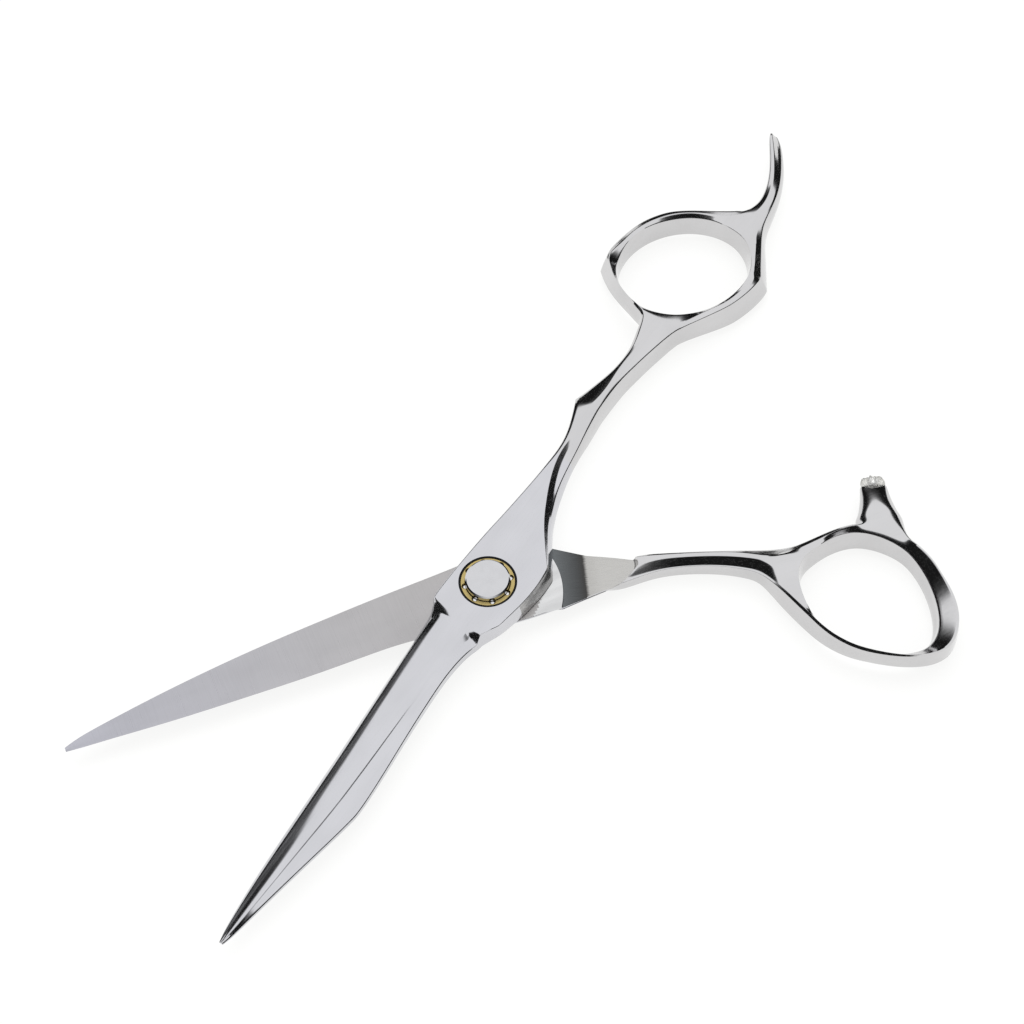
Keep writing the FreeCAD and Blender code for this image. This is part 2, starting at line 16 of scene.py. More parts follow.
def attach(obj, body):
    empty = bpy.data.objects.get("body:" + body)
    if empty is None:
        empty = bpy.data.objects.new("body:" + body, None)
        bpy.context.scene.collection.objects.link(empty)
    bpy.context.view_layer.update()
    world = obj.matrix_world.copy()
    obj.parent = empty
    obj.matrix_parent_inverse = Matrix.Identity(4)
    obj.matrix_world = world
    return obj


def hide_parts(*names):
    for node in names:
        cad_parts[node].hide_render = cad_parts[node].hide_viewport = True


MM = 0.001
# Half the angle between the two halves, in degrees, and the height of the plane where they meet
HALF_OPENING = 16.9
MEET = 3.6
# How often a cage is subdivided, and the sides of a turned shape
SUBDIVISIONS = 3
TURNED_SIDES = 96
# Edges that turn by more than this many degrees are drawn sharp
SHARP_ANGLE = 32

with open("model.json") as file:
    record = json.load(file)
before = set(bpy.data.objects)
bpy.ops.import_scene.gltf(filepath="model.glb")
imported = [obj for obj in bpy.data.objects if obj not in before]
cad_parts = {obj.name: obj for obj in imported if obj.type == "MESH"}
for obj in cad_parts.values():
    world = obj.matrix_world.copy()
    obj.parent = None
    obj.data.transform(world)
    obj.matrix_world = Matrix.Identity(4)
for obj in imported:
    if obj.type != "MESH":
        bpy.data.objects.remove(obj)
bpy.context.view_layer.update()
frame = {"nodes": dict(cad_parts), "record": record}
nodes = frame["nodes"]


# ---------------------------------------------------------------- camera
# What it looks at; its azimuth is turned from -Y towards +X, and its elevation is above the table
AIM = Vector((-12.65, -9.19, 3.6)) * MM
CAMERA_DISTANCE = 360.3 * MM
CAMERA_AZIMUTH = 141.93
CAMERA_ELEVATION = 57.98
CAMERA_ROLL = -2.0
LENS = 76.29
SENSOR_WIDTH = 36.0


def make_camera():
    a, e = math.radians(CAMERA_AZIMUTH), math.radians(CAMERA_ELEVATION)
    back = Vector((math.sin(a) * math.cos(e), -math.cos(a) * math.cos(e), math.sin(e)))
    data = bpy.data.cameras.new("camera")
    data.lens = LENS
    data.sensor_width = SENSOR_WIDTH
    data.clip_start, data.clip_end = 0.01, 20.0
    camera = new_object("camera", data)
    turn = (-back).to_track_quat("-Z", "Y").to_matrix().to_4x4()
    roll = Matrix.Rotation(math.radians(CAMERA_ROLL), 4, "Z")
    camera.matrix_world = Matrix.Translation(AIM + back * CAMERA_DISTANCE) @ turn @ roll
    bpy.context.scene.camera = camera


# ---------------------------------------------------------------- studio
def shade(rgb, by):
    return tuple(c * by for c in rgb)


def grey(level):
    return (level, level, level)


BELT_RADIUS = 1.5
BELT_HEIGHT = 0.86
# Height up the belt as a share of its height, and how bright it is there
BELT_STOPS = [(0.0, 0.06), (0.06, 0.015), (0.55, 0.012), (0.74, 0.05), (0.86, 0.18), (0.94, 0.5), (1.0, 1.0)]
# A touch of blue in the belt's greys
BELT_TINT = (0.985, 0.99, 1.0)
SKY_COLOUR = (0.985, 0.99, 1.0, 1)
SKY_STRENGTH = 1.08
FLOOR_RADIUS = 1.6
FLOOR_HEIGHT = -0.0002
FLOOR_GREY = 0.18
FLOOR_GLOW = 0.80
SOFTBOX_SIZE = 0.9
SOFTBOX_POWER = 4.0
SOFTBOX_PLACE = (-0.25, -0.3, 0.95)


def circle(radius, z, sides):
    turns = [2 * math.pi * i / sides for i in range(sides)]
    return [(radius * math.cos(t), radius * math.sin(t), z) for t in turns]


def new_object(name, mesh):
    o = bpy.data.objects.new(name, mesh)
    bpy.context.scene.collection.objects.link(o)
    return o


def belt_wall(sides=96):
    """An upright band round the object."""
    mesh = bpy.data.meshes.new("dark_belt")
    verts = circle(BELT_RADIUS, 0.0, sides) + circle(BELT_RADIUS, BELT_HEIGHT, sides)
    faces = []
    for i in range(sides):
        k = (i + 1) % sides
        faces.append((i, k, sides + k, sides + i))
    mesh.from_pydata(verts, [], faces)
    mesh.materials.append(belt_material())
    return new_object("dark_belt", mesh)


def belt_material():
    """Dark surround with a soft upper edge, so that the steel's reflections fade rather than stop."""
    m = bpy.data.materials.new("belt_dark")
    m.use_nodes = True
    tree = m.node_tree
    tree.nodes.clear()
    glow = tree.nodes.new("ShaderNodeEmission")
    out = tree.nodes.new("ShaderNodeOutputMaterial")
    where = tree.nodes.new("ShaderNodeTexCoord")
    parts = tree.nodes.new("ShaderNodeSeparateXYZ")
    share = tree.nodes.new("ShaderNodeMapRange")
    share.inputs["From Max"].default_value = BELT_HEIGHT
    ramp = tree.nodes.new("ShaderNodeValToRGB")
    stops = ramp.color_ramp.elements
    while len(stops) < len(BELT_STOPS):
        stops.new(0.5)
    for stop, (place, level) in zip(stops, BELT_STOPS):
        stop.position, stop.color = place, (*shade(BELT_TINT, level), 1)
    tree.links.new(where.outputs["Object"], parts.inputs[0])
    tree.links.new(parts.outputs["Z"], share.inputs["Value"])
    tree.links.new(share.outputs[0], ramp.inputs[0])
    tree.links.new(ramp.outputs[0], glow.inputs["Color"])
    tree.links.new(glow.outputs[0], out.inputs["Surface"])
    return m


def only_reflected(o):
    """Steel mirrors it; nothing else sees it."""
    for use in ("camera", "diffuse", "transmission", "volume_scatter", "shadow"):
        setattr(o, "visible_" + use, False)


def make_floor(sides=64):
    mesh = bpy.data.meshes.new("floor")
    mesh.from_pydata(circle(FLOOR_RADIUS, FLOOR_HEIGHT, sides), [], [tuple(range(sides))])
    m = bpy.data.materials.new("floor_white")
    m.use_nodes = True
    p = m.node_tree.nodes["Principled BSDF"]
    p.inputs["Base Color"].default_value = (FLOOR_GREY, FLOOR_GREY, FLOOR_GREY, 1)
    p.inputs["Roughness"].default_value = 0.9
    p.inputs["Specular IOR Level"].default_value = 0.0
    p.inputs["Emission Color"].default_value = (1, 1, 0.99, 1)
    p.inputs["Emission Strength"].default_value = FLOOR_GLOW
    mesh.materials.append(m)
    return new_object("floor", mesh)


def make_softbox():
    light = bpy.data.lights.new("softbox", "AREA")
    light.shape = "DISK"
    light.size = SOFTBOX_SIZE
    light.energy = SOFTBOX_POWER
    box = new_object("softbox", light)
    box.location = SOFTBOX_PLACE
    box.rotation_euler = (-Vector(SOFTBOX_PLACE)).to_track_quat("-Z", "Y").to_euler()
    box.visible_glossy = False


def make_studio():
    scene = bpy.context.scene
    scene.view_settings.view_transform = "Standard"
    world = bpy.data.worlds.new("studio")
    world.use_nodes = True
    world.node_tree.nodes["Background"].inputs["Color"].default_value = SKY_COLOUR
    world.node_tree.nodes["Background"].inputs["Strength"].default_value = SKY_STRENGTH
    scene.world = world
    floor = make_floor()
    belt = belt_wall()
    only_reflected(belt)
    make_softbox()


# ---------------------------------------------------------------- materials
class Surface:
    """A node material whose grain runs along one half's own length. Sizes are in millimetres."""
    def __init__(self, name, metallic=1.0, turn=0.0, **fixed):
        self.material = bpy.data.materials.new(name)
        self.material.use_nodes = True
        self.tree = self.material.node_tree
        self.shader = self.tree.nodes["Principled BSDF"]
        self.shader.inputs["Metallic"].default_value = metallic
        for key, value in fixed.items():
            self.shader.inputs[key.replace("_", " ")].default_value = value
        self.turn = math.radians(turn)

    def node(self, kind, **values):
        n = self.tree.nodes.new("ShaderNode" + kind)
        for key, value in values.items():
            n.inputs[key.replace("_", " ")].default_value = value
        return n

    def link(self, out, into):
        self.tree.links.new(out, into)

    def place(self, size):
        """Position in the half's own frame, counted in grains of this size."""
        where = self.node("TexCoord")
        turned_place = self.node("Mapping")
        turned_place.vector_type = "TEXTURE"
        turned_place.inputs["Rotation"].default_value = (0, 0, self.turn)
        turned_place.inputs["Scale"].default_value = [v * MM for v in size]
        self.link(where.outputs["Object"], turned_place.inputs["Vector"])
        return turned_place.outputs[0]

    def grain(self, size, detail=3.0):
        noise = self.node("TexNoise", Scale=1.0, Detail=detail)
        self.link(self.place(size), noise.inputs["Vector"])
        return noise.outputs["Factor" if "Factor" in noise.outputs else "Fac"]

    def rings(self, width, detail=2.0):
        """Turned marks round the pivot, with this spacing."""
        wave = self.node("TexWave", Scale=1.0, Distortion=0.6, Detail=detail, Detail_Scale=3.0)
        wave.wave_type, wave.rings_direction = "RINGS", "Z"
        self.link(self.place((width, width, width)), wave.inputs["Vector"])
        return wave.outputs["Factor" if "Factor" in wave.outputs else "Fac"]

    def spread(self, value, low, high, start=0.3, end=0.7):
        m = self.node("MapRange", From_Min=start, From_Max=end, To_Min=low, To_Max=high)
        self.link(value, m.inputs["Value"])
        return m.outputs[0]

    def colour(self, value, *stops):
        ramp = self.node("ValToRGB")
        elements = ramp.color_ramp.elements
        while len(elements) < len(stops):
            elements.new(0.5)
        for element, (where, rgb) in zip(elements, stops):
            element.position, element.color = where, (*rgb, 1)
        self.link(value, ramp.inputs[0])
        return ramp.outputs[0]

    def multiply(self, first, second):
        mix = self.node("Mix")
        mix.data_type, mix.blend_type = "RGBA", "MULTIPLY"
        mix.inputs[0].default_value = 1.0
        self.link(first, mix.inputs[6])
        self.link(second, mix.inputs[7])
        return mix.outputs[2]

    def finish(self, colour, rough, height=None, depth=0.0, strength=1.0):
        self.link(colour, self.shader.inputs["Base Color"])
        self.link(rough, self.shader.inputs["Roughness"])
        if height is not None:
            bump = self.node("Bump", Strength=strength, Distance=depth * MM)
            self.link(height, bump.inputs["Height"])
            self.link(bump.outputs[0], self.shader.inputs["Normal"])
        return self.material


# Depth of the polishing wheel's marks, mm
WHEEL_MARK = 0.0012


# In each material the numbers in grain() are the lengths of a mark along, across and through the half, and
# the pairs in colour() a share of the noise with the tone there
def polished(name, rgb, turn, rough=0.09):
    """Mirror-polished steel: fine wheel marks along the length over slow clouding."""
    s = Surface(name, turn=turn)
    marks_along = s.grain((7.0, 0.16, 0.5), 4.0)
    cloud = s.grain((9.0, 5.0, 5.0), 2.0)
    tone = s.multiply(s.colour(cloud, (0.3, shade(rgb, 0.97)), (0.7, shade(rgb, 1.03))),
                      s.colour(marks_along, (0.3, grey(0.975)), (0.5, grey(1.0))))
    return s.finish(tone, s.spread(marks_along, rough * 0.6, rough * 1.7), marks_along, WHEEL_MARK, 0.35)


def brushed(name, rgb, turn, size, rough, depth, contrast):
    """Steel with a visible lay of brush lines."""
    s = Surface(name, turn=turn)
    lines = s.grain(size, 5.0)
    broad = s.grain([v * 5 for v in size], 2.0)
    tone = s.multiply(s.colour(lines, (0.28, shade(rgb, 1 - contrast)), (0.72, shade(rgb, 1 + contrast))),
                      s.colour(broad, (0.35, grey(0.86)), (0.65, grey(1.0))))
    return s.finish(tone, s.spread(lines, rough * 0.8, rough * 1.3), lines, depth, 0.7)


# The painted shade's edge slants by this many degrees, and its tones are spread over this reach across the
# slant
SHADE_EDGE_SLANT = 17.7
SHADE_REACH = (-18.0, -10.0)
# How far, in millimetres, the brush lines drag the tones along
SHADE_RAGGED = 1.1
# Share of the reach, and the tone there: the tail's satin, then the dark painted shade, lighter again by the
# ride
FLAT_SHADE_TONES = [
    (0, (0.56, 0.55, 0.53)), (0.27, (0.5, 0.49, 0.47)), (0.335, (0.06, 0.058, 0.056)),
    (0.5, (0.085, 0.088, 0.09)), (0.9, (0.15, 0.16, 0.165)),
]


def flat_painted_shade(name, turn):
    """The flat behind the ride: dark with painted shade, then satin past a ragged slanting line."""
    s = Surface(name, turn=turn - SHADE_EDGE_SLANT)
    lines = s.grain((2.6, 0.09, 0.3), 4.0)
    parts = s.node("SeparateXYZ")
    s.link(s.place((1.0, 1.0, 1.0)), parts.inputs[0])
    ragged = s.node("Math")
    ragged.operation = "MULTIPLY_ADD"
    ragged.inputs[1].default_value = SHADE_RAGGED
    s.link(lines, ragged.inputs[0])
    s.link(parts.outputs["X"], ragged.inputs[2])
    share = s.spread(ragged.outputs[0], 0.0, 1.0, *SHADE_REACH)
    tone = s.multiply(s.colour(share, *FLAT_SHADE_TONES), s.colour(lines, (0.3, grey(0.86)), (0.65, grey(1.0))))
    return s.finish(tone, s.spread(lines, 0.22, 0.36), lines, 0.003, 0.6)


# From the pivot to the tips
BLADE_LENGTH = 72.0


def inner_face(name, turn):
    """Hollow-ground inner face: grey that cools towards the tip, with fine grinding lines across it."""
    s = Surface(name, turn=turn)
    lines = s.grain((0.14, 9.0, 9.0), 4.0)
    cloud = s.grain((11.0, 4.0, 4.0), 2.0)
    parts = s.node("SeparateXYZ")
    s.link(s.place((BLADE_LENGTH,) * 3), parts.inputs[0])
    along = s.colour(parts.outputs["X"], (0.0, (0.47, 0.455, 0.45)), (0.35, (0.49, 0.48, 0.49)),
                     (1.0, (0.50, 0.50, 0.55)))
    tone = s.multiply(s.multiply(along, s.colour(cloud, (0.3, grey(0.93)), (0.7, grey(1.0)))),
                      s.colour(lines, (0.3, grey(0.93)), (0.6, grey(1.0))))
    return s.finish(tone, s.spread(lines, 0.27, 0.38), lines, 0.002, 0.6)


def turned_metal(name, rgb, rough, width, depth):
    """Metal from a lathe, with marks of this spacing round the pivot."""
    s = Surface(name)
    rings = s.rings(width)
    cloud = s.grain((1.5, 1.5, 1.5), 3.0)
    tone = s.multiply(s.colour(rings, (0.2, shade(rgb, 0.9)), (0.8, shade(rgb, 1.06))),
                      s.colour(cloud, (0.3, grey(0.955)), (0.6, grey(1.0))))
    return s.finish(tone, s.spread(rings, rough * 0.7, rough * 1.4, 0.0, 1.0), rings, depth, 0.5)


def moulded(name, dark, light, rough, size, depth, **fixed):
    """A plastic or rubber with a fine even texture between two tones."""
    s = Surface(name, metallic=0.0, **fixed)
    grain = s.grain((size, size, size), 4.0)
    return s.finish(s.colour(grain, (0.3, dark), (0.7, light)), s.spread(grain, rough * 0.8, rough * 1.25),
                    grain, depth, 0.6)


STEEL = (0.60, 0.60, 0.625)
WARM_STEEL = (0.60, 0.595, 0.60)
# The brush lines on the boss's near side lie at this angle to its half, in degrees
BOSS_LAY = 8.0
MAKE = {
    "finger_blade": polished("finger_blade_polish", STEEL, HALF_OPENING, 0.11),
    "finger_handle": polished("finger_handle_polish", WARM_STEEL, HALF_OPENING),
    "boss_side": brushed("boss_side_brushed", (0.42, 0.415, 0.41), HALF_OPENING + BOSS_LAY, (2.6, 0.11, 0.11),
                         0.24, 0.004, 0.4),
    "thumb_handle": polished("thumb_handle_polish", WARM_STEEL, -HALF_OPENING),
    "thumb_outer": polished("thumb_blade_polish", STEEL, -HALF_OPENING, 0.11),
    "thumb_inner": inner_face("thumb_inner_face", -HALF_OPENING),
    "ride": brushed("ride_lapped", grey(0.70), -HALF_OPENING, (1.6, 0.3, 0.3), 0.14, 0.0002, 0.02),
    # The flat behind the ride; the dark band in its colour is painted shade
    "shaded_flat": flat_painted_shade("flat_painted_shade", -HALF_OPENING),
    "blade_steel": polished("blade_steel_polish", STEEL, 0.0),
    "handle_steel": polished("handle_steel_polish", WARM_STEEL, 0.0),
    "hardware_steel": turned_metal("hardware_turned", (0.62, 0.62, 0.635), 0.09, 0.35, 0.0008),
    "ball_steel": turned_metal("ball_lapped", (0.74, 0.74, 0.75), 0.05, 0.2, 0.0002),
    "cage_brass": turned_metal("cage_brass_turned", (0.52, 0.41, 0.17), 0.26, 0.25, 0.003),
    "bush_bronze": turned_metal("bush_bronze_turned", (0.5, 0.3, 0.14), 0.3, 0.25, 0.003),
    # Black rubber seal round the cage; its near-black tone also stands in for the shade in the gap, painted
    # shade
    "seal_rubber": moulded("seal_rubber_with_gap_shade", grey(0.004), grey(0.012), 0.75, 0.12, 0.01,
                           Specular_IOR_Level=0.15),
    "nylon": moulded("nylon_moulded", (0.70, 0.70, 0.66), (0.8, 0.8, 0.76), 0.5, 0.2, 0.01),
    "clear_silicone": moulded("clear_silicone_moulded", (0.66, 0.65, 0.61), (0.95, 0.95, 0.93), 0.3, 0.35,
                              0.08, Transmission_Weight=0.75, IOR=1.41),
}


# ---------------------------------------------------------------- cages
# A cage is a coarse closed net of quads that a subdivision surface rounds. Edges with a crease weight
# stay crisp. Loops that follow each other have the same number of points, in the same order.
class Cage:
    """Builds one such net, a loop of points at a time."""
    def __init__(self):
        self.bm = bmesh.new()
        self.crease = self.bm.edges.layers.float.new("crease_edge")

    def loop(self, points):
        return [self.bm.verts.new(p) for p in points]

    def quad(self, *verts):
        return self.bm.faces.new(verts)

    def sharpen(self, a, b, weight):
        edge = self.bm.edges.get((a, b))
        if edge is not None and weight > 0:
            edge[self.crease] = max(edge[self.crease], weight)

    def bridge(self, first, second, weights):
        n = len(first)
        for i in range(n):
            j = (i + 1) % n
            self.quad(first[i], first[j], second[j], second[i])
        for i in range(n):
            self.sharpen(first[i], second[i], weights[i])

    def rim(self, loop, weights):
        """Creases across: weights has one number for each edge round the loop."""
        for i, w in enumerate(weights):
            self.sharpen(loop[i], loop[(i + 1) % len(loop)], w)

    def follow(self, last, sections, weights):
        """Bridges on from the last loop through each section in turn, and returns the new last loop."""
        for section in sections:
            now = self.loop(section)
            self.bridge(last, now, weights)
            last = now
        return last

    def close(self, loop, weight=1.0):
        self.bm.faces.new(loop)
        self.rim(loop, [weight] * len(loop))

    def mesh(self, name):
        bmesh.ops.recalc_face_normals(self.bm, faces=self.bm.faces[:])
        coarse = bpy.data.meshes.new(name + "_cage")
        self.bm.to_mesh(coarse)
        self.bm.free()
        holder = new_object(name + "_cage", coarse)
        sub = holder.modifiers.new("round", "SUBSURF")
        sub.levels = sub.render_levels = SUBDIVISIONS
        sub.boundary_smooth = "PRESERVE_CORNERS"
        result = bpy.data.meshes.new_from_object(
            holder.evaluated_get(bpy.context.evaluated_depsgraph_get()))
        bpy.data.objects.remove(holder)
        bpy.data.meshes.remove(coarse)
        return result


def at(table, x):
    """A table's columns at x, straight between its rows, which are in order of their first column."""
    xs = [row[0] for row in table]
    return [float(np.interp(x, xs, [row[i] for row in table])) for i in range(1, len(table[0]))]


def polar_radius(outline, centre, degrees):
    """How far the outline is from the centre in a direction, read by angle between its points."""
    pairs = sorted((math.degrees(math.atan2(y - centre[1], x - centre[0])) % 360,
                    math.hypot(x - centre[0], y - centre[1])) for x, y in outline)
    angles = [p[0] - 360 for p in pairs] + [p[0] for p in pairs] + [p[0] + 360 for p in pairs]
    radii = [p[1] for p in pairs] * 3
    return float(np.interp(degrees % 360, angles, radii))


def ellipse_radius(major, minor, turn, degrees):
    """How far an ellipse with these half axes is from its centre in a direction."""
    t = math.radians(degrees - turn)
    return major * minor / math.hypot(minor * math.cos(t), major * math.sin(t))


# A ring's rows from the outer foot over the top: after the crown come brow, two waist rows and inner foot
FOOT, FLANK, ARRIS, CROWN = range(4)
ROW_CREASE = (0.75, 0.0, 0.85, 0.7, 0.85, 0.3, 0.2, 0.6)


def ring(cage, centre, angles, profile, gaps, corners=()):
    """A ring of points round a hole, in those rows. Leaves its outer side open over each gap between two
    of the angles, and returns the openings as loops. Corners are angles where the outside has a crease."""
    inside = {i for a, b in gaps for i in range(a + 1, b)}
    n, rows = len(angles), len(ROW_CREASE)
    grid = []
    for i, degrees in enumerate(angles):
        t = math.radians(degrees)
        column = []
        for j, (r, z) in enumerate(profile(degrees)):
            if j in (FLANK, ARRIS) and i in inside:
                column.append(None)
                continue
            column.append(cage.bm.verts.new((centre[0] + r * math.cos(t), centre[1] + r * math.sin(t), z)))
        grid.append(column)
    for i in range(n):
        k = (i + 1) % n
        gap = any(a <= i < b for a, b in gaps)
        for j in range(rows):
            if gap and j < CROWN:
                continue
            m = (j + 1) % rows
            cage.quad(grid[i][j], grid[k][j], grid[k][m], grid[i][m])
            if not (gap and j == CROWN):
                cage.sharpen(grid[i][j], grid[k][j], ROW_CREASE[j])
    for i, weight in corners:
        for j in (FOOT, FLANK):
            cage.sharpen(grid[i][j], grid[i][j + 1], weight)
    openings = []
    for a, b in gaps:
        top = [grid[i][CROWN] for i in range(a, b + 1)]
        base = [grid[i][FOOT] for i in range(b, a - 1, -1)]
        openings.append(top + [grid[b][ARRIS], grid[b][FLANK]] + base + [grid[a][FLANK], grid[a][ARRIS]])
    return openings


def placed(mesh, turn):
    """From a half's own frame in millimetres to the shared frame in metres."""
    mesh.transform(Matrix.Diagonal((MM, MM, MM, 1)) @ Matrix.Translation((0, 0, MEET))
                   @ Matrix.Rotation(math.radians(turn), 4, "Z"))
    return mesh


def as_piece(name, mesh, materials, body, slot, *stands_for):
    """Puts a mesh in the scene as a piece that rides a body and stands for a node of the part."""
    o = new_object(name, mesh)
    painted = [p.material_index for p in mesh.polygons]
    mesh.materials.clear()
    for m in materials:
        mesh.materials.append(m)
    for p, index in zip(mesh.polygons, painted):
        p.material_index = min(index, len(materials) - 1)
        p.use_smooth = True
    mesh.set_sharp_from_angle(angle=math.radians(SHARP_ANGLE))
    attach(o, body)
    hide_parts(*stands_for)


def cut(mesh, cutters):
    """The mesh less each cutter mesh."""
    holder = new_object("cut", mesh)
    others = []
    for c in cutters:
        other = new_object("cutter", c)
        m = holder.modifiers.new("cut", "BOOLEAN")
        m.operation, m.solver, m.object = "DIFFERENCE", "EXACT", other
        others.append(other)
    result = bpy.data.meshes.new_from_object(holder.evaluated_get(bpy.context.evaluated_depsgraph_get()))
    for o in others + [holder]:
        bpy.data.objects.remove(o)
    return result


def turned(name, profile, sides=TURNED_SIDES):
    """A closed turned solid from (radius, z) points; a radius of 0 is a point on the axis."""
    bm = bmesh.new()
    rings = []
    for r, z in profile:
        points = [(0, 0, z)] if r == 0 else circle(r, z, sides)
        rings.append([bm.verts.new(p) for p in points])
    pairs = list(zip(rings, rings[1:]))
    if len(rings[0]) > 1 and len(rings[-1]) > 1:
        pairs.append((rings[-1], rings[0]))
    for a, b in pairs:
        for i in range(sides):
            k = (i + 1) % sides
            corners = [a[i % len(a)], a[k % len(a)], b[k % len(b)], b[i % len(b)]]
            unique = list(dict.fromkeys(corners))
            if len(unique) > 2:
                bm.faces.new(unique)
    bmesh.ops.recalc_face_normals(bm, faces=bm.faces[:])
    mesh = bpy.data.meshes.new(name)
    bm.to_mesh(mesh)
    bm.free()
    return mesh


def cylinder(name, radius, low, high):
    return turned(name, [(0, low), (radius, low), (radius, high), (0, high)])


# ---------------------------------------------------------------- finger half
# Top of both rings' crowns, and the foot of their outer walls
RING_TOP, RING_FOOT = 2.6, -2.25
# The finger hole's half length, half width and turn in degrees
FINGER_HOLE = (12.4, 10.6, -31)
# The flat between a finger ring's crown and brow is at least this wide, or this share of the wall
CROWN_WIDTH, CROWN_SHARE = 0.6, 0.6
# Where the handle is welded to the blade
FINGER_WELD_X = -27.0
FINGER_RING_CENTRE = (-73.3, -7.1)
FINGER_ANGLES = [-1, 6, 13, 20, 27, 38, 50, 62, 74, 86, 98, 107, 112, 120, 131, 142, 153, 161, 169.5,
                 180, 191, 202, 213, 224, 235, 246, 257, 268, 279, 288, 295.6, 304, 315, 327, 340, 350]
FINGER_OUTLINE = [
    (-60, -7.3), (-59.7, -5), (-59.8, -2.5), (-60.5, -0.6), (-62, 0.2), (-64, 1.2), (-66, 2.3),
    (-68, 3.4), (-70, 4.4), (-72, 5), (-74, 5.5), (-76, 5.85), (-78.5, 5.8), (-80.5, 4.6), (-84, 2.4),
    (-88, 0.5), (-89.7, -1.6), (-89.7, -4.3), (-88.5, -5.7), (-87, -7.9), (-85.5, -10.5), (-84, -13),
    (-82, -15.7), (-80, -17.2), (-78, -18.4), (-75, -19.3), (-72, -19.8), (-69.5, -20.1), (-67.9, -19.9),
    (-66.2, -18.3), (-64.5, -16.6), (-63, -14.3), (-62, -12.3), (-61, -10),
]


# angle, crown inset, brow z, arris z, flare of the flank and of the foot, brow's growth outwards
FINGER_RIM = [
    (0, 0.8, 2.05, 2.05, 0.25, 0, 0),
    (27, 0.7, 2.05, 2.05, 0.3, 0.2, 0),
    (50, 0.8, 2.1, 2.05, 0.45, 0.7, 0),
    (70, 0.8, 2.3, 2.05, 0.6, 1.15, 0),
    (98, 0.8, 2.45, 2.05, 0.7, 1.3, 0),
    (107, 0.8, 2.45, 2, 0.8, 1.4, 0),
    (112, 1.8, 2.45, 1.35, 0.7, 1.4, 0),
    (125, 1.65, 2.45, 1.42, 0.7, 1.25, 0),
    (142, 1.1, 2.35, 1.8, 0.8, 1.2, 0),
    (153, 1.8, 2.15, 2.1, 0.6, 1, 0),
    (166, 2.6, 1.85, 2.25, 0.3, 0.5, 0),
    (180, 2.2, 1.85, 2.35, 0.25, 0.2, 0),
    (196, 2.6, 1.78, 2.4, 0.25, 0, 0),
    (210, 2.6, 1.75, 2.4, 0.25, 0, 0),
    (228, 2.2, 1.8, 2.3, 0.25, 0, 0),
    (246, 1.3, 2.15, 2.12, 0.25, 0, 0),
    (258, 1.4, 2.35, 2.02, 0.28, 0.1, 0),
    (268, 1.4, 2.4, 1.97, 0.3, 0.2, 0),
    (283, 1.4, 2.1, 1.93, 0.6, 0.8, 0),
    (294, 0.2, 1.05, 2.3, 0.8, 1.3, 0),
    (305, 0.12, 1.75, 2.3, 0.6, 1, 0),
    (315, 0.12, 2.15, 2.25, 0.4, 0.6, 0),
    (325, 0.2, 2.3, 2.2, 0.3, 0.3, 0),
    (340, 0.5, 2, 2.1, 0.25, 0, 0),
    (360, 0.8, 2.05, 2.05, 0.25, 0, 0),
]


def finger_profile(degrees):
    out = polar_radius(FINGER_OUTLINE, FINGER_RING_CENTRE, degrees)
    inset, brow_z, arris_z, flank, foot, grow = at(FINGER_RIM, degrees % 360)
    brow = ellipse_radius(*FINGER_HOLE, degrees) + grow
    wall = out - brow
    crown = out - min(inset, max(CROWN_SHARE * wall, wall - CROWN_WIDTH))
    return [(out + foot - 0.1, RING_FOOT), (out + flank, -0.2), (out, arris_z), (crown, RING_TOP),
            (brow, brow_z), (brow - 0.22, brow_z - 1.1), (brow - 0.42, -1.3), (brow - 0.4, -2.3)]


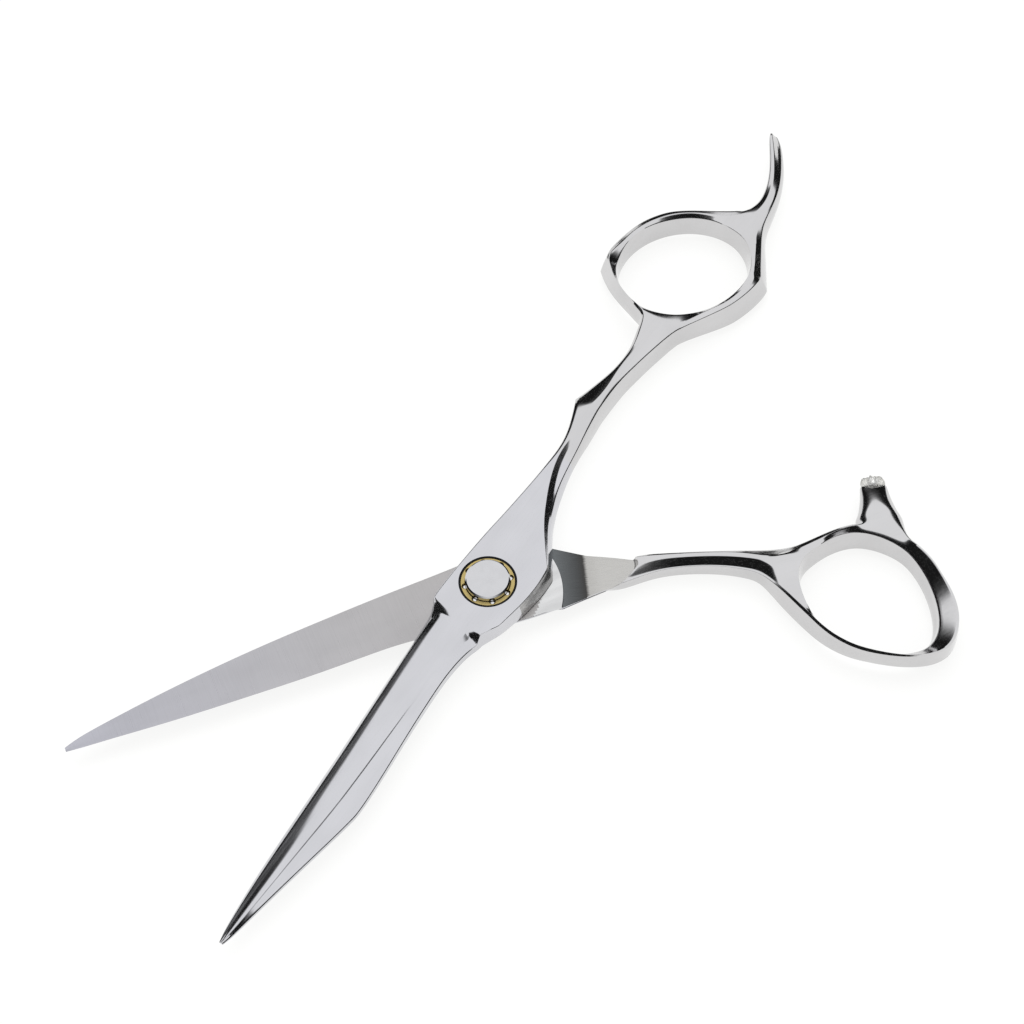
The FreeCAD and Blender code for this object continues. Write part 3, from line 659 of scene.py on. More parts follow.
# x; the panel's near edge or the shank's ridge (A): y, z; the line outside it (B): y, z; the near arris
# (C): y, z; near foot y; far crown: y, z; far arris: y, z; underside z
FINGER_STATIONS = [
    (-57, -4.4, 2.7, -2.3, 2.65, -1.45, 2.1, -1.2, -6.1, 2.5, -6.75, 2, -2.3),
    (-53, -4.5, 2.7, -3, 2.62, -2.2, 2.1, -1.95, -5.1, 2.45, -5.5, 1.9, -2.3),
    (-49, -4.7, 2.7, -3.6, 2.62, -2.8, 2.1, -2.5, -5.15, 2.5, -5.45, 2, -2.3),
    (-46.5, -4.6, 2.7, -3.8, 2.65, -3.1, 2.1, -2.8, -5.45, 2.28, -5.78, 1.8, -2.3),
    (-43.5, -4.25, 2.7, -3.75, 2.66, -3.2, 2.12, -2.85, -6.45, 1.62, -6.8, 1.2, -2.3),
    (-40.6, -4.35, 2.7, -3.75, 2.66, -3.15, 2.12, -2.8, -7.3, 1.3, -7.65, 0.9, -2.2),
    (-39.1, -4.55, 2.72, -3.8, 2.67, -3.1, 2.15, -2.75, -7.75, 1.45, -8.1, 1.05, -2.1),
    (-38, -4.5, 2.74, -3.75, 2.7, -3, 2.15, -2.6, -6.9, 2.25, -7.5, 1.9, -2),
    (-33.5, -4.05, 2.85, -3.3, 2.7, -2.4, 2.12, -1.95, -5.1, 2.75, -5.6, 2.4, -1.4),
    (-30, -3.9, 3.05, -3.2, 2.4, -1.9, 2.05, -1.4, -4.25, 3, -4.65, 2.7, -0.2),
    (-27, -3.75, 3.15, -2.75, 2.38, -1.45, 2.05, -0.95, -3.98, 3.12, -4.35, 2.9, 0.02),
    (-24, -3, 3.2, -1.95, 2.4, -0.95, 2.05, -0.3, -4.1, 3.2, -4.4, 3, 0.02),
    (-21, -1.9, 3.2, -0.85, 2.4, -0.2, 2.05, 0.55, -4.25, 3.2, -4.5, 3, 0.02),
    (-18, -0.5, 3.2, 0.55, 2.4, 1.05, 2.05, 1.5, -4.4, 3.2, -4.65, 3, 0.02),
    (-15, 1, 3.2, 1.95, 2.48, 2.3, 2.05, 2.8, -4.6, 3.2, -4.85, 3, 0.02),
    (-12, 3.05, 3.2, 3.8, 2.62, 4.05, 2.15, 4.6, -4.8, 3.2, -5.05, 3, 0.02),
    (-9.5, 4.95, 3.2, 5.5, 2.78, 5.7, 2.3, 6.35, -5.05, 3.2, -5.28, 3, 0.02),
    (-7.3, 6.65, 3.2, 6.85, 3, 6.95, 2.4, 7.8, -5.2, 3.2, -5.45, 3, 0.02),
    (-4, 7.1, 3.2, 7.2, 3.1, 7.28, 2.4, 7.95, -5.4, 3.2, -5.65, 3, 0.02),
    (0, 6.9, 3.2, 7, 3.1, 7.15, 2.4, 7.5, -5.6, 3.2, -5.8, 3, 0.02),
    (3, 6.4, 3.2, 6.5, 3.1, 6.65, 2.4, 6.9, -5.65, 3.2, -5.88, 3, 0.02),
    (5.8, 5.95, 3.2, 6.02, 3.1, 6.1, 2.4, 6.15, -5.65, 3.2, -5.88, 3, 0.02),
]


def finger_section(row):
    x, ya, za, yb, zb, yc, zc, foot, yf, zf, ye, ze, low = row
    return [
        (x, yf, zf), (x, yf + (ya - yf) * 0.35, zf + (za - zf) * 0.4),
        (x, yf + (ya - yf) * 0.7, zf + (za - zf) * 0.75),
        (x, ya, za), (x, yb, zb), (x, yc, zc), (x, (yc + foot) / 2 + 0.12, (zc + low) / 2),
        (x, foot, low), (x, foot * 0.7 + ye * 0.3, low), (x, foot * 0.45 + ye * 0.55, low),
        (x, foot * 0.2 + ye * 0.8, low), (x, ye + 0.1, low), (x, ye - 0.1, (ze + low) / 2), (x, ye, ze),
    ]


# x, cutting edge y, back y, crown z, ridge y, back z
FINGER_BLADE = [
    (12, -5.05, 3.95, 2.98, 1.85, 1.75),
    (16, -4.8, 3.55, 2.8, 1.8, 1.75),
    (20, -4.55, 3.6, 2.62, 1.8, 1.6),
    (28, -4, 4.1, 2.36, 1.9, 1.4),
    (36, -3.4, 4.85, 2.2, 1.95, 1.2),
    (42, -3.05, 5.25, 2.1, 1.95, 1.05),
    (44.4, -2.92, 5.2, 2.05, 1.9, 1),
    (48, -2.7, 4.65, 1.95, 1.75, 0.9),
    (54, -2.35, 3.55, 1.8, 1.45, 0.85),
    (60, -1.95, 2.5, 1.6, 1.2, 0.8),
    (66, -1.3, 1.5, 1.25, 0.85, 0.7),
    (70, -0.75, 0.85, 0.9, 0.45, 0.5),
    (71.5, -0.3, 0.35, 0.6, 0.15, 0.35),
]


# Where the line ground along the ridge starts, and how far on it is complete; its width and how steep it is
GROOVE_START, GROOVE_RUN = 12.0, 10.0
GROOVE_WIDTH, GROOVE_SLOPE = 0.28, 0.88
# Slope of the finger blade's steeper facet
FACET_SLOPE = 0.44


def edge_facets(span):
    """How far the light strip along a cutting edge reaches in, and the steeper facet beyond it."""
    return min(0.6, 0.16 * span), min(1.9, 0.5 * span)


def finger_blade_section(row):
    x, edge, back, crown, ridge, back_z = row
    span = ridge - edge
    strip, dark = edge_facets(span)
    groove = min(GROOVE_WIDTH, 0.1 * (back - ridge))
    plain = Vector(((ridge + back) / 2, (crown + back_z) / 2 - 0.03))
    grooved = Vector((ridge + groove, crown - GROOVE_SLOPE * groove))
    beside = plain.lerp(grooved, min(1.0, (x - GROOVE_START) / GROOVE_RUN))
    return [
        (x, edge + dark, 0.65 * crown), (x, edge + dark + (span - dark) * 0.5, 0.90 * crown),
        (x, ridge, crown), (x, *beside),
        (x, back - 0.14, back_z + 0.06), (x, back, back_z - 0.1), (x, back, back_z * 0.5), (x, back, 0.02),
        (x, back - 0.12 * (back - edge), 0.02), (x, (back + edge) / 2, 0.14),
        (x, edge + 0.12 * (back - edge), 0.02), (x, edge, 0.02), (x, edge + 0.08, 0.2),
        (x, edge + strip, 0.65 * crown - FACET_SLOPE * (dark - strip)),
    ]


# The step from the boss down to the blade: its edge, and its foot
STEP_TOP = [
    (6.98, -5.55, 3.2), (8.05, -0.8, 3.2), (8.45, 1.9, 3.2), (8.62, 4.25, 3.2), (8.68, 4.4, 3.1),
    (8.75, 4.6, 2.4), (8.85, 4.75, 1.2), (8.95, 4.85, 0.02), (8.3, 2, 0.02), (8, -0.5, 0.02),
    (7.8, -3, 0.02), (7.3, -5.45, 0.02), (7, -5.75, 1.5), (6.9, -5.8, 3),
]
STEP_FOOT = [
    (8.5, -3.4, 2.2), (8.7, -0.9, 2.9), (9.3, 1.9, 3), (9.6, 3.1, 1.95), (9.95, 4.45, 1.6),
    (10, 4.55, 1.4), (10, 4.6, 0.8), (10, 4.65, 0.02), (9.8, 2.6, 0.02), (9.4, -0.3, 0.1),
    (9.1, -3.6, 0.02), (9.3, -5.35, 0.02), (9.3, -5.2, 0.3), (9.1, -4.75, 1.15),
]
# Crease weights of the edges that run along the half, one for each point of a section
FINGER_CREASE = (0.3, 0, 0, 0.75, 0.6, 0.35, 0, 0.7, 0, 0, 0, 0.7, 0, 0.6)
SHANK_CREASE = (0.3, 0, 0, 0.5, 0.2, 0.35, 0, 0.6, 0, 0, 0, 0.6, 0, 0.6)
BLADE_CREASE = (0.4, 0, 0.7, 0.6, 0.7, 0.7, 0, 0.9, 0, 0, 0, 1.0, 0, 0.45)
TANG_CREASE = (0.6, 0.7, 0.6, 0.3, 0, 0.4, 0, 0.4, 0, 0.4)
# Stations of the shank nearer the ring than this have softer creases
SHANK_X = -29
# Creases round a section: at the scoop, at both ends of the boss, at the step and at the blade's widest place
BOSS_RIM = [0] * 3 + [0.5] * 4 + [0] * 4 + [0.6] * 3
STATION_RIMS = {-39.1: [0.9, 0.8, 0.6] + [0] * 8 + [0.8] * 3, -7.3: BOSS_RIM, 5.8: BOSS_RIM}
STEP_TOP_RIM = [0.9] * 7 + [0] * 4 + [0.9] * 3
STEP_FOOT_RIM = [0.8, 0.3, 0.9, 0.9, 0.9, 0.3, 0.3] + [0] * 4 + [0.3, 0.3, 0.8]
BLADE_RIMS = {44.4: [0, 0, 0, 0.3, 0.3, 0.4, 0.4] + [0] * 7}

# The fixed finger rest: x and y of its middle line, half width, top and underside
TANG = [
    (-92.6, -1.65, 1.75, 2.35, -2),
    (-95.6, -2, 1.5, 2.2, -1.7),
    (-99.2, -3.1, 1.42, 2.05, -1.45),
    (-102.7, -4.8, 1.38, 1.9, -1.2),
    (-105.8, -6.7, 1.3, 1.75, -1),
    (-108.2, -8.4, 1.15, 1.6, -0.85),
    (-109.4, -9.35, 0.7, 1.35, -0.6),
]


def tang_sections():
    out = []
    for i, (x, y, half, high, low) in enumerate(TANG):
        a, b = TANG[max(i - 1, 0)], TANG[min(i + 1, len(TANG) - 1)]
        d = Vector((b[0] - a[0], b[1] - a[1])).normalized()
        side = Vector((-d.y, d.x))          # towards the far side as x falls

        def p(s, z):
            return (x + side.x * s * half, y + side.y * s * half, z)
        mid = (high + low) / 2
        # The points go from the near side, the smaller angle on the ring, over the top to the far side.
        # The dark facet starts along the far edge at the ring and crosses to the middle further out.
        twist = min(1.0, i / 3)
        out.append([p(-0.5 + 0.25 * twist, high - 0.75 * twist), p(0.2 + 0.2 * twist, high),
                    p(0.75 + 0.07 * twist, high - 0.55 * (1 - twist)), p(0.97, high - 0.85 + 0.65 * twist),
                    p(1.0, mid), p(0.85, low), p(0.0, low), p(-0.95, low), p(-1.1, mid - 0.2),
                    p(-0.72 + 0.1 * twist, high - 0.25 - 0.85 * twist)])
    return out


def make_finger_half():
    cage = Cage()
    index = FINGER_ANGLES.index
    gaps = [(index(-1), index(27)), (index(153), index(169.5))]
    last, rest = ring(cage, FINGER_RING_CENTRE, FINGER_ANGLES, finger_profile, gaps,
                      corners=[(index(112), 0.7), (index(295.6), 0.7)])
    for row in FINGER_STATIONS:
        x = row[0]
        last = cage.follow(last, [finger_section(row)], SHANK_CREASE if x < SHANK_X else FINGER_CREASE)
        cage.rim(last, STATION_RIMS.get(x, ()))
    last = cage.follow(last, [STEP_TOP], FINGER_CREASE)
    cage.rim(last, STEP_TOP_RIM)
    last = cage.follow(last, [STEP_FOOT], BLADE_CREASE)
    cage.rim(last, STEP_FOOT_RIM)
    for row in FINGER_BLADE:
        last = cage.follow(last, [finger_blade_section(row)], BLADE_CREASE)
        cage.rim(last, BLADE_RIMS.get(row[0], ()))
    cage.close(last, 0.6)
    cage.close(cage.follow(rest, tang_sections(), TANG_CREASE), 0.4)
    return cage.mesh("finger_half")


def half_of(mesh, x, keep_high):
    """The part of a closed mesh on one side of the plane at x, closed again."""
    bm = bmesh.new()
    bm.from_mesh(mesh)
    geom = bm.verts[:] + bm.edges[:] + bm.faces[:]
    found = bmesh.ops.bisect_plane(bm, geom=geom, plane_co=(x, 0, 0), plane_no=(1, 0, 0),
                                   clear_inner=keep_high, clear_outer=not keep_high)
    edges = [e for e in found["geom_cut"] if isinstance(e, bmesh.types.BMEdge)]
    bmesh.ops.contextual_create(bm, geom=edges)
    bmesh.ops.recalc_face_normals(bm, faces=bm.faces[:])
    out = bpy.data.meshes.new(mesh.name)
    bm.to_mesh(out)
    bm.free()
    return out


# ---------------------------------------------------------------- thumb half
THUMB_RING_CENTRE = (-56.1, 25.7)
THUMB_ANGLES = [0, 12, 24, 36, 48, 60, 72, 84, 96, 107, 118, 129, 140, 151, 162, 173, 184, 194, 204, 214,
                231, 248, 260, 272, 285, 298, 306.75, 315.5, 324.25, 333, 346]
THUMB_OUTLINE = [
    (-44.6, 25), (-45.1, 27), (-45.8, 29.1), (-47, 31.4), (-48.5, 33.5), (-50.8, 35.6), (-53.2, 37.2),
    (-55.5, 38.6), (-57.9, 39.5), (-60.2, 40), (-61.6, 40.1), (-63.3, 39.5), (-65.1, 37.9), (-66.6, 35.7),
    (-67.5, 33.3), (-67.9, 30.2), (-67.9, 27.3), (-67.9, 24.6), (-67.3, 21.9), (-66.3, 19.4), (-64.3, 16.4),
    (-62, 14.3), (-60, 13.3), (-57.3, 13), (-53.8, 13), (-50.2, 12.9), (-48.6, 12.75), (-46.2, 13.4),
    (-44, 15.4), (-42.9, 18), (-43.2, 19.6), (-43.8, 21.9),
]
THUMB_BROW = [
    (-45.5, 25), (-45.8, 28.5), (-46.9, 31), (-48.4, 33), (-50.3, 34.9), (-52.7, 36.5), (-55, 37.6),
    (-57.5, 38.2), (-59.5, 38.1), (-61.5, 37.2), (-62.9, 35.9), (-64.2, 33.6), (-65.1, 31.2), (-65.7, 28.5),
    (-65.9, 25.7), (-65.8, 23), (-65.2, 20.6), (-64.2, 18.6), (-62.5, 16.9), (-60.5, 15.5), (-58, 14.7),
    (-55.5, 14.4), (-53, 14.5), (-50, 15.1), (-48.3, 16), (-47.2, 17.3), (-46.4, 19), (-45.8, 21.5),
]
# angle, crown inset, brow z, arris z, flare of the flank, how far the wall leans in below the brow
THUMB_RIM = [
    (0, 0.4, 2.25, 2.05, 0.3, 0.6),
    (60, 0.45, 2.2, 2.05, -0.35, 0.6),
    (90, 0.3, 1.9, 2.15, -0.35, 0.6),
    (107, 0.15, 1.3, 2.3, -0.1, 0.6),
    (125, 0.12, 0.95, 2.3, 0.3, 0.6),
    (140, 0.12, 0.75, 2.4, 0.4, 0.6),
    (160, 0.12, 0.5, 2.4, 0.2, 0.6),
    (180, 0.12, 0.5, 2.4, 0, 0.6),
    (205, 0.2, 0.8, 2.4, 0, 0.6),
    (225, 0.4, 1.15, 2.35, 0, 0.7),
    (250, 0.5, 1.5, 2.3, 0, 0.8),
    (270, 0.5, 1.6, 2.25, 0, 0.8),
    (285, 0.85, 1.7, 2.2, 0.05, 0.8),
    (298, 0.9, 1.95, 2.2, 0.1, 0.8),
    (315, 0.9, 2.15, 2.2, 0.3, 0.6),
    (333, 0.6, 2.25, 2.1, 0.55, 0.6),
    (360, 0.4, 2.25, 2.05, 0.3, 0.6),
]
# angle, how much further out the brow is there, and how much lower the crown and arris are
THUMB_BAND = [
    (0, 0, 0.05), (12, 0, 0), (225, 0, 0), (240, 0.35, 0), (262, 0.55, 0), (280, 0.35, 0.1),
    (298, 0, 1.1), (306.75, 0, 0.1), (324.25, 0, 0), (333, 0, 0.6), (346, 0, 0.25),
    (360, 0, 0.05),
]


def thumb_profile(degrees):
    out = polar_radius(THUMB_OUTLINE, THUMB_RING_CENTRE, degrees)
    outwards, drop = at(THUMB_BAND, degrees % 360)
    brow = polar_radius(THUMB_BROW, THUMB_RING_CENTRE, degrees) + outwards
    inset, brow_z, arris_z, flare, lean = at(THUMB_RIM, degrees % 360)
    return [(out + 1.4 * flare - 0.15, RING_FOOT), (out + flare, -0.3), (out, arris_z - drop),
            (out - inset, RING_TOP - drop), (brow, brow_z), (brow - 0.3 * lean, brow_z - 1.1),
            (brow - lean, -1.3), (brow - lean, -2.3)]


# Shank of the thumb half: far arris x, y; near arris x, y; top z; drop to the near arris; underside z;
# where across the top the flute starts; width of the far chamfer as a share, and its drop
THUMB_STATIONS = [
    (-46.4, 12.35, -41.9, 14.9, 2.5, 1.75, -2.35, 0.68, 0.5, 1.15),
    (-43.3, 11.4, -40.1, 13.25, 2.25, 1.65, -2.35, 0.6, 0.36, 0.65),
    (-39.8, 9.9, -37.6, 11.5, 2, 1.45, -2.35, 0.53, 0.2, 0.35),
    (-36, 8.3, -34.4, 9.85, 1.8, 1.35, -2.35, 0.5, 0.17, 0.25),
    (-32, 6.75, -31, 8.5, 1.65, 1.3, -2.35, 0.48, 0.16, 0.22),
    (-28.6, 5.4, -28, 7.65, 1.52, 1.35, -2.35, 0.46, 0.16, 0.22),
    (-26.2, 4.5, -25.2, 7.2, 1.44, 1.5, -2.4, 0.48, 0.14, 0.22),
]


def thumb_section(row):
    xf, yf, xn, yn, top, drop, low, flute, chamfer, dip = row

    def p(t, z, out=0.0):
        """A point this share of the way from the far side to the near one."""
        return (xf + (xn - xf) * t, yf + (yn - yf) * t + out, z)
    return [
        p(chamfer, top - 0.03), p(0.6 * chamfer + 0.4 * flute, top),
        p(0.2 * chamfer + 0.8 * flute, top + 0.01), p(flute, top - 0.05), p(0.93, top - drop),
        p(1.0, top - drop - 0.14), p(1.0, (top - drop + low) / 2, 0.18), p(1.0, low, 0.05),
        p(0.75, low), p(0.5, low), p(0.25, low), p(0.0, low, 0.1),
        p(0.0, (top + low) / 2, -0.15), p(0.0, top - dip),
    ]


# Underside of the thumb half's heel, the ground flat behind the ride, and the top of the blade and ride
UNDERSIDE, FLAT_TOP, INNER_TOP = -3.0, -0.3, -0.02
# How far the flat heel's near side leans in, at its middle and at its foot, and how deep its edge is broken
HEEL_LEAN = (0.8, 1.8)
HEEL_BREAK = 0.42


def level(tops, near, far, z):
    """A section of the flat heel: five top points, then the near side, the underside and the far side."""
    base = [(x, y, UNDERSIDE) for x, y in reversed(tops)]
    base[0], base[-1] = (near[0], near[1] - HEEL_LEAN[1], UNDERSIDE), (*far, UNDERSIDE)
    middle = (z + UNDERSIDE) / 2
    near_side = [(*near, z - HEEL_BREAK), (near[0], near[1] - HEEL_LEAN[0], middle)]
    far_side = [(*far, middle), (*far, z - 0.06)]
    return [(x, y, z) for x, y in tops] + near_side + base + far_side


# The shoulder from the shank down to the flat: its edge, and its foot
SHOULDER_TOP = [
    (-24.5, 4.25, 1.25), (-24.45, 4.75, 1.36), (-24.3, 5.25, 1.38), (-24, 5.75, 1.25), (-21.4, 6.85, 0.1),
    (-20.6, 7.2, -0.1), (-20.6, 7.35, -1.2), (-20.6, 7.2, -2.4), (-21.4, 6.5, -2.45), (-22.4, 5.6, -2.5),
    (-23.4, 4.7, -2.5), (-24.4, 3.95, -2.45), (-24.4, 3.85, -1), (-24.45, 3.95, 0.8),
]
SHOULDER_FOOT = [
    (-24.15, 4.15, -0.3), (-24.05, 4.65, -0.3), (-23.85, 5.15, -0.3), (-23.3, 5.85, -0.3),
    (-20.9, 6.95, -0.3), (-18.6, 7.3, -0.32), (-18.6, 7.05, -1.3), (-18.6, 6.4, -2.5), (-20, 6.4, -2.6),
    (-21.2, 5.5, -2.6), (-22.6, 4.6, -2.6), (-24, 3.75, -2.5), (-24, 3.7, -1.4), (-24.1, 3.8, -0.36),
]
SHOULDER_RIM = [0.85] * 5 + [0] * 7 + [0.85] * 2
# The flat halfway, and where the handle is welded to the blade: top points, near edge, far edge
FLAT = ([(-21.0, 2.2), (-20.4, 3.4), (-19.4, 4.9), (-18.2, 6.3), (-17.2, 7.3)], (-17.0, 7.35), (-21.2, 2.0))
WELD = ([(-17.2, 0.3), (-16.95, 1.9), (-16.2, 3.7), (-15.2, 5.7), (-14.4, 7.15)], (-14.2, 7.4), (-17.4, 0.0))
HANDLE_CREASE = (0.5, 0, 0, 0.75, 0.5, 0.6, 0, 0.5, 0, 0, 0, 0.5, 0, 0.5)
HEEL_CREASE = (0, 0, 0, 0, 0, 0.95, 0, 0.8, 0, 0, 0, 0.8, 0, 0.95)
# The post that carries the bumper
STUB_START, STUB_END = Vector((-63.7, 14.9, 0.1)), Vector((-66.5, 7.1, 0.1))
# Along the stub from ring to end: place, half width on each side, top and underside from its middle
STUB = [
    (0.16, 4.3, 4.5, 2.45, 2.4),
    (0.3, 3.7, 3.75, 2.45, 2.3),
    (0.44, 3.25, 3.3, 2.35, 2.2),
    (0.74, 2.65, 2.65, 1.6, 2.2),
    (0.95, 2.5, 2.45, 0.95, 2.2),
    (1, 2.4, 2.35, 0.8, 2.05),
]
# Directions of a stub section's ten points, in degrees, from side through top
STUB_TURNS = (126, 90, 54, 18, -18, -54, -90, -126, -162, 162)


def stub_sections():
    d = (STUB_END - STUB_START).normalized()
    side = Vector((-d.y, d.x, 0))
    out = []
    for t, first, second, above, below in STUB:
        middle = STUB_START.lerp(STUB_END, t)
        section = []
        for turn in STUB_TURNS:
            across, up = math.cos(math.radians(turn)), math.sin(math.radians(turn))
            width, height = (second if across > 0 else first), (above if turn > 0 else below)
            section.append(middle + side * (width * across) + Vector((0, 0, height * up)))
        out.append(section)
    return out


BALLS = 8
BALL_CIRCLE = 3.75
CAGE_PROFILE = [
    (3.42, 1.92), (4.36, 1.92), (4.4, 1.96), (4.4, 3.08), (4.36, 3.12), (3.76, 3.12), (3.72, 3.08),
    (3.72, 2.9), (3.42, 2.6),
]
# Radius, underside and top of the pocket round each ball, and of the notch above it
POCKET, NOTCH = (0.63, 1.0, 2.84), (0.54, 2.5, 4.0)


def cage_mesh():
    """Brass ball cage: a flat-topped ring with a pocket for each ball and a smaller notch above it."""
    cutters = []
    for radius, low, high in (POCKET, NOTCH):
        bm = bmesh.new()
        for i in range(BALLS):
            t = 2 * math.pi * i / BALLS
            x, y = BALL_CIRCLE * math.cos(t), BALL_CIRCLE * math.sin(t)
            place = Matrix.Translation((x, y, (low + high) / 2))
            bmesh.ops.create_cone(bm, cap_ends=True, segments=28, radius1=radius, radius2=radius,
                                  depth=high - low, matrix=place)
        cutter = bpy.data.meshes.new("pockets")
        bm.to_mesh(cutter)
        bm.free()
        cutters.append(cutter)
    return cut(turned("ball_cage", CAGE_PROFILE), cutters)


BUMPER_PROFILE = [
    (0.85, -0.02), (2.15, -0.02), (2.25, 0.3), (2.22, 0.75), (2, 1.2), (1.5, 1.55), (0.8, 1.68), (0, 1.7),
    (0, 1.25), (0.85, 1.25),
]
BUMPER_SIDES = 64
# The hole for the stud stays round inside this radius
BUMPER_CORE = 0.9
# The bumper is an oval that is flatter on top: its scale across, above the middle and below it
BUMPER_OVAL = (0.9, 0.62, 0.86)


def bumper_mesh():
    """Moulded bumper on the stub's end: a soft cap with a torn, lumpy rim."""
    d = (STUB_END - STUB_START).normalized()
    mesh = turned("bumper", BUMPER_PROFILE, BUMPER_SIDES)
    across, above, below = BUMPER_OVAL
    for v in mesh.vertices:
        if math.hypot(v.co.x, v.co.y) > BUMPER_CORE:
            a = math.atan2(v.co.y, v.co.x)
            lump = 0.05 * math.sin(5 * a + 1) + 0.04 * math.sin(11 * a) + 0.03 * math.sin(23 * a + 2 * v.co.z)
            v.co.x *= 1 + lump * 0.6
            v.co.y *= 1 + lump * 0.6
            v.co.z += lump * 1.6 * max(0.0, v.co.z)
        v.co.x *= across
        v.co.y *= above if v.co.y > 0 else below
    mesh.transform(Matrix.Translation(STUB_END) @ d.to_track_quat("Z", "Y").to_matrix().to_4x4())
    return mesh


def make_thumb_handle():
    cage = Cage()
    index = THUMB_ANGLES.index
    gaps = [(index(298), index(333)), (index(214), index(248))]
    shank, stub = ring(cage, THUMB_RING_CENTRE, THUMB_ANGLES, thumb_profile, gaps)
    last = cage.follow(shank, [thumb_section(row) for row in THUMB_STATIONS], HANDLE_CREASE)
    for section in (SHOULDER_TOP, SHOULDER_FOOT):
        last = cage.follow(last, [section], HANDLE_CREASE)
        cage.rim(last, SHOULDER_RIM)
    cage.close(cage.follow(last, [level(*place, FLAT_TOP) for place in (FLAT, WELD)], HEEL_CREASE))
    cage.close(cage.follow(stub, stub_sections(), [0] * len(STUB_TURNS)), 0.6)
    return cage.mesh("thumb_handle")


# x, cutting edge y, back y, crown depth, ridge y, back depth; the outer side faces down
THUMB_BLADE = [
    (13, 3.75, -6.2, 2.6, -1.8, 1.5),
    (18, 3.25, -6.1, 2.4, -1.8, 1.25),
    (24, 3.2, -5.85, 2.3, -1.8, 1.15),
    (32, 3.1, -5.5, 2.2, -1.7, 1.1),
    (40, 2.7, -5, 2.1, -1.5, 1),
    (48, 2.3, -4.25, 1.9, -1.3, 0.95),
    (56, 1.8, -3.3, 1.65, -1, 0.85),
    (64, 1.05, -2.1, 1.3, -0.6, 0.7),
    (69, 0.7, -1.25, 1, -0.3, 0.55),
    (71.5, 0.4, -0.35, 0.6, 0, 0.35),
]
# Heel of the thumb blade: x, far edge y, near edge y, and how far the underside's near bevel reaches in
THUMB_HEEL = [
    (-8, -6, 7.5, 2),
    (-4, -6.5, 7.35, 2.1),
    (0, -6.6, 7, 2.2),
    (4, -6.4, 6.2, 2.4),
    (8, -6.3, 5, 2.5),
]


def thumb_blade_section(row):
    x, edge, back, crown, ridge, back_z = row
    span = edge - ridge
    strip, dark = edge_facets(span)
    wide = edge - back
    return [
        (x, back + 0.1 * wide, -0.02), (x, back + 0.3 * wide, -0.06), (x, back + 0.5 * wide, -0.09),
        (x, back + 0.7 * wide, -0.06), (x, edge - 0.1 * wide, -0.02), (x, edge, -0.02),
        (x, edge - 0.08, -0.2),
        (x, edge - strip, -0.33 * crown), (x, edge - dark, -0.64 * crown),
        (x, edge - dark - (span - dark) * 0.5, -0.9 * crown), (x, ridge, -crown),
        (x, back + 0.14, -back_z - 0.06), (x, back, -back_z * 0.6), (x, back, -0.02),
    ]


def thumb_heel_section(x, far, near, bevel):
    wide = near - far
    tops = [(x, far + wide * t, INNER_TOP) for t in (0.1, 0.3, 0.5, 0.7, 0.9)]
    return tops + [(x, near - 0.22, INNER_TOP), (x, near, -0.34), (x, near - 0.45 * bevel, -1.5),
                   (x, near - bevel, -2.85), (x, (near + far) / 2 + 0.6, UNDERSIDE),
                   (x, far + 0.25 * wide, UNDERSIDE), (x, far + 0.35, -2.95), (x, far, -1.6),
                   (x, far, INNER_TOP)]


# The half-moon ride ends in an arc round the pivot: radius and height of its foot, then of its edge
RIDE_ARC = ((12.36, FLAT_TOP), (12.24, INNER_TOP))
# y of the arc's five top points, of its near end and of its far end
RIDE_TOPS, RIDE_NEAR, RIDE_FAR = (-4.0, -1.0, 2.2, 5.2, 7.2), 7.58, -4.5
RIDE_RIM = [1.0] * 5 + [0] * 8 + [1.0]
THUMB_HEEL_CREASE = (0, 0, 0, 0, 0, 0.95, 0, 0.3, 0.3, 0, 0, 0.6, 0, 0.95)
THUMB_BLADE_CREASE = (0, 0, 0, 0, 0, 1.0, 0, 0.4, 0.2, 0, 0.5, 0.7, 0, 0.95)


def make_thumb_blade():
    cage = Cage()
    last = cage.loop(level(*WELD, FLAT_TOP))
    cage.close(last)
    for radius, z in RIDE_ARC:
        def on_arc(y):
            return (-math.sqrt(radius * radius - y * y), y)
        section = level([on_arc(y) for y in RIDE_TOPS], on_arc(RIDE_NEAR), on_arc(RIDE_FAR), z)
        last = cage.follow(last, [section], HEEL_CREASE)
        cage.rim(last, RIDE_RIM)
    last = cage.follow(last, [thumb_heel_section(*row) for row in THUMB_HEEL], THUMB_HEEL_CREASE)
    last = cage.follow(last, [thumb_blade_section(row) for row in THUMB_BLADE], THUMB_BLADE_CREASE)
    cage.close(last, 0.6)
    head = cylinder("head_seat", 4.22, -6.0, -2.6)
    washer = cylinder("washer_seat", 4.52, -0.29, 2.0)
    post = cylinder("post_hole", 2.02, -5.0, 1.0)
    return cut(cage.mesh("thumb_blade"), [head, washer, post])


# ---------------------------------------------------------------- pieces
# Radii of the ride, from the washer's flat to the flat with painted shade, and the x that it all lies behind
RIDE_INNER, RIDE_OUTER, RIDE_X = 8.6, 12.3, -3.0


def paint(mesh, rule):
    """Gives each face of a mesh in its half's own frame the material index the rule returns."""
    for p in mesh.polygons:
        p.material_index = rule(p.center, p.normal)


def finger_blade_zone(centre, normal):
    """0 the ground and polished faces, 1 the brushed near side of the boss."""
    return int(-8.5 < centre.x < 1.0 and centre.y > 6.4 and normal.z < 0.93 and centre.z < 3.18)


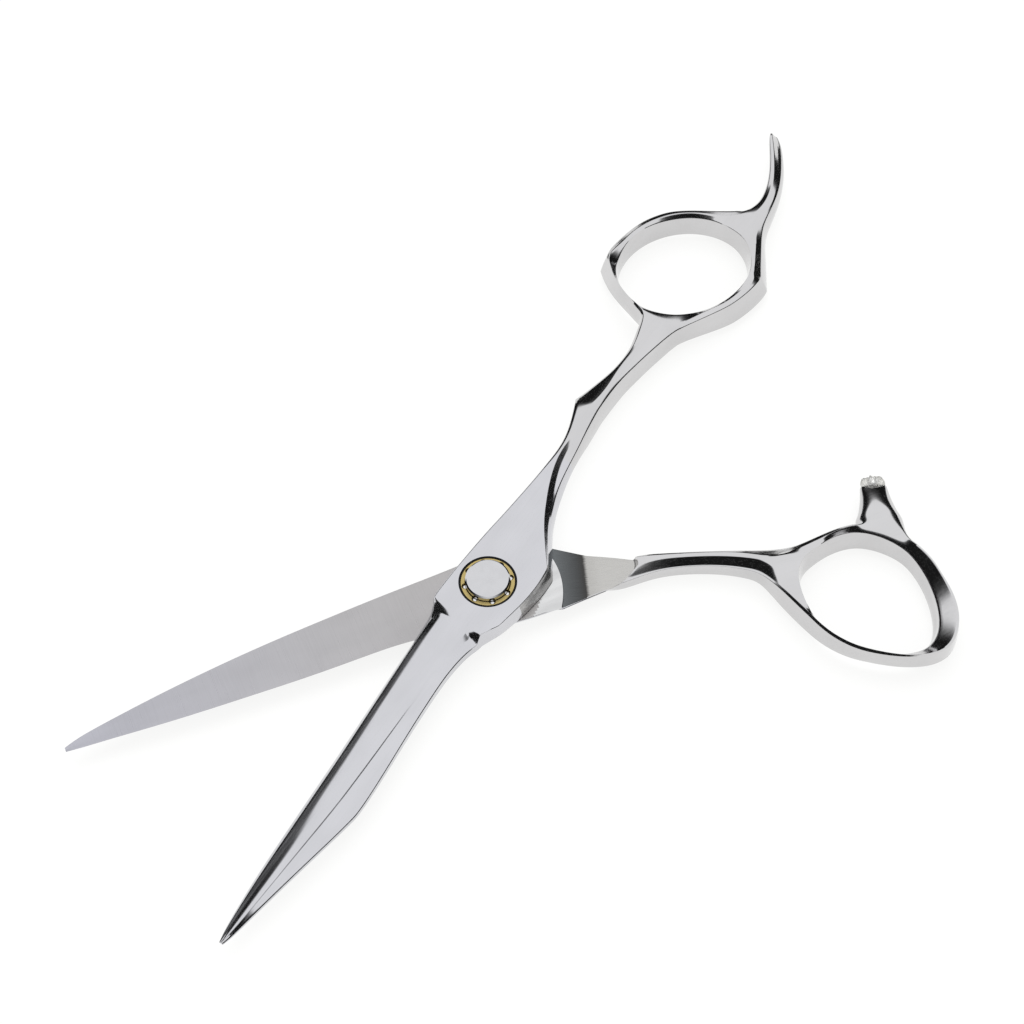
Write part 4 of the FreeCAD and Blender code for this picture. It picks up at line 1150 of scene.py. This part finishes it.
def thumb_blade_zone(centre, normal):
    """0 outer faces, 1 inner face, 2 the ride, 3 the flat behind it, with painted shade."""
    r = math.hypot(centre.x, centre.y)
    if normal.z < 0.7 or centre.z < -0.5:
        return 0
    if centre.x < RIDE_X and r > RIDE_OUTER:
        return 3
    if centre.x < RIDE_X and r > RIDE_INNER:
        return 2
    return 1


def thumb_handle_zone(centre, normal):
    """0 the polished handle, 1 its flat tail, which takes the flat's painted shade."""
    return int(normal.z > 0.9 and centre.z < -0.2 and centre.x > -24.5)


make_camera()
make_studio()
finger = make_finger_half()
finger_handle = half_of(finger, FINGER_WELD_X, False)
pocket = cylinder("pocket", 4.75, 1.4, 4.5)
bore = cylinder("bore", 2.6, -1.0, 2.0)
finger_blade = cut(half_of(finger, FINGER_WELD_X, True), [pocket, bore])
thumb_blade, thumb_handle = make_thumb_blade(), make_thumb_handle()
paint(finger_blade, finger_blade_zone)
paint(thumb_blade, thumb_blade_zone)
paint(thumb_handle, thumb_handle_zone)

as_piece("finger_blade_ground", placed(finger_blade, HALF_OPENING), [MAKE["finger_blade"], MAKE["boss_side"]],
         "finger_half", "blade_steel", "finger_blade")
as_piece("finger_handle_polished", placed(finger_handle, HALF_OPENING), [MAKE["finger_handle"]],
         "finger_half", "handle_steel", "finger_handle")
as_piece("thumb_blade_ground", placed(thumb_blade, -HALF_OPENING),
         [MAKE["thumb_outer"], MAKE["thumb_inner"], MAKE["ride"], MAKE["shaded_flat"]],
         "thumb_half", "blade_steel", "thumb_blade")
as_piece("thumb_handle_polished", placed(thumb_handle, -HALF_OPENING), [MAKE["thumb_handle"], MAKE["shaded_flat"]],
         "thumb_half", "handle_steel", "thumb_handle")
as_piece("bumper_moulded", placed(bumper_mesh(), -HALF_OPENING), [MAKE["clear_silicone"]],
         "thumb_half", "clear_silicone", "bumper_stop")

as_piece("ball_cage_brass", placed(cage_mesh(), HALF_OPENING), [MAKE["cage_brass"]],
         "ball_cage", "cage_brass", "bearing_cage")

slot_of = {part["node"]: part["material_slot"] for part in frame["record"]["subparts"]}
for name, o in nodes.items():
    o.data.materials.clear()
    o.data.materials.append(MAKE[slot_of[name]])
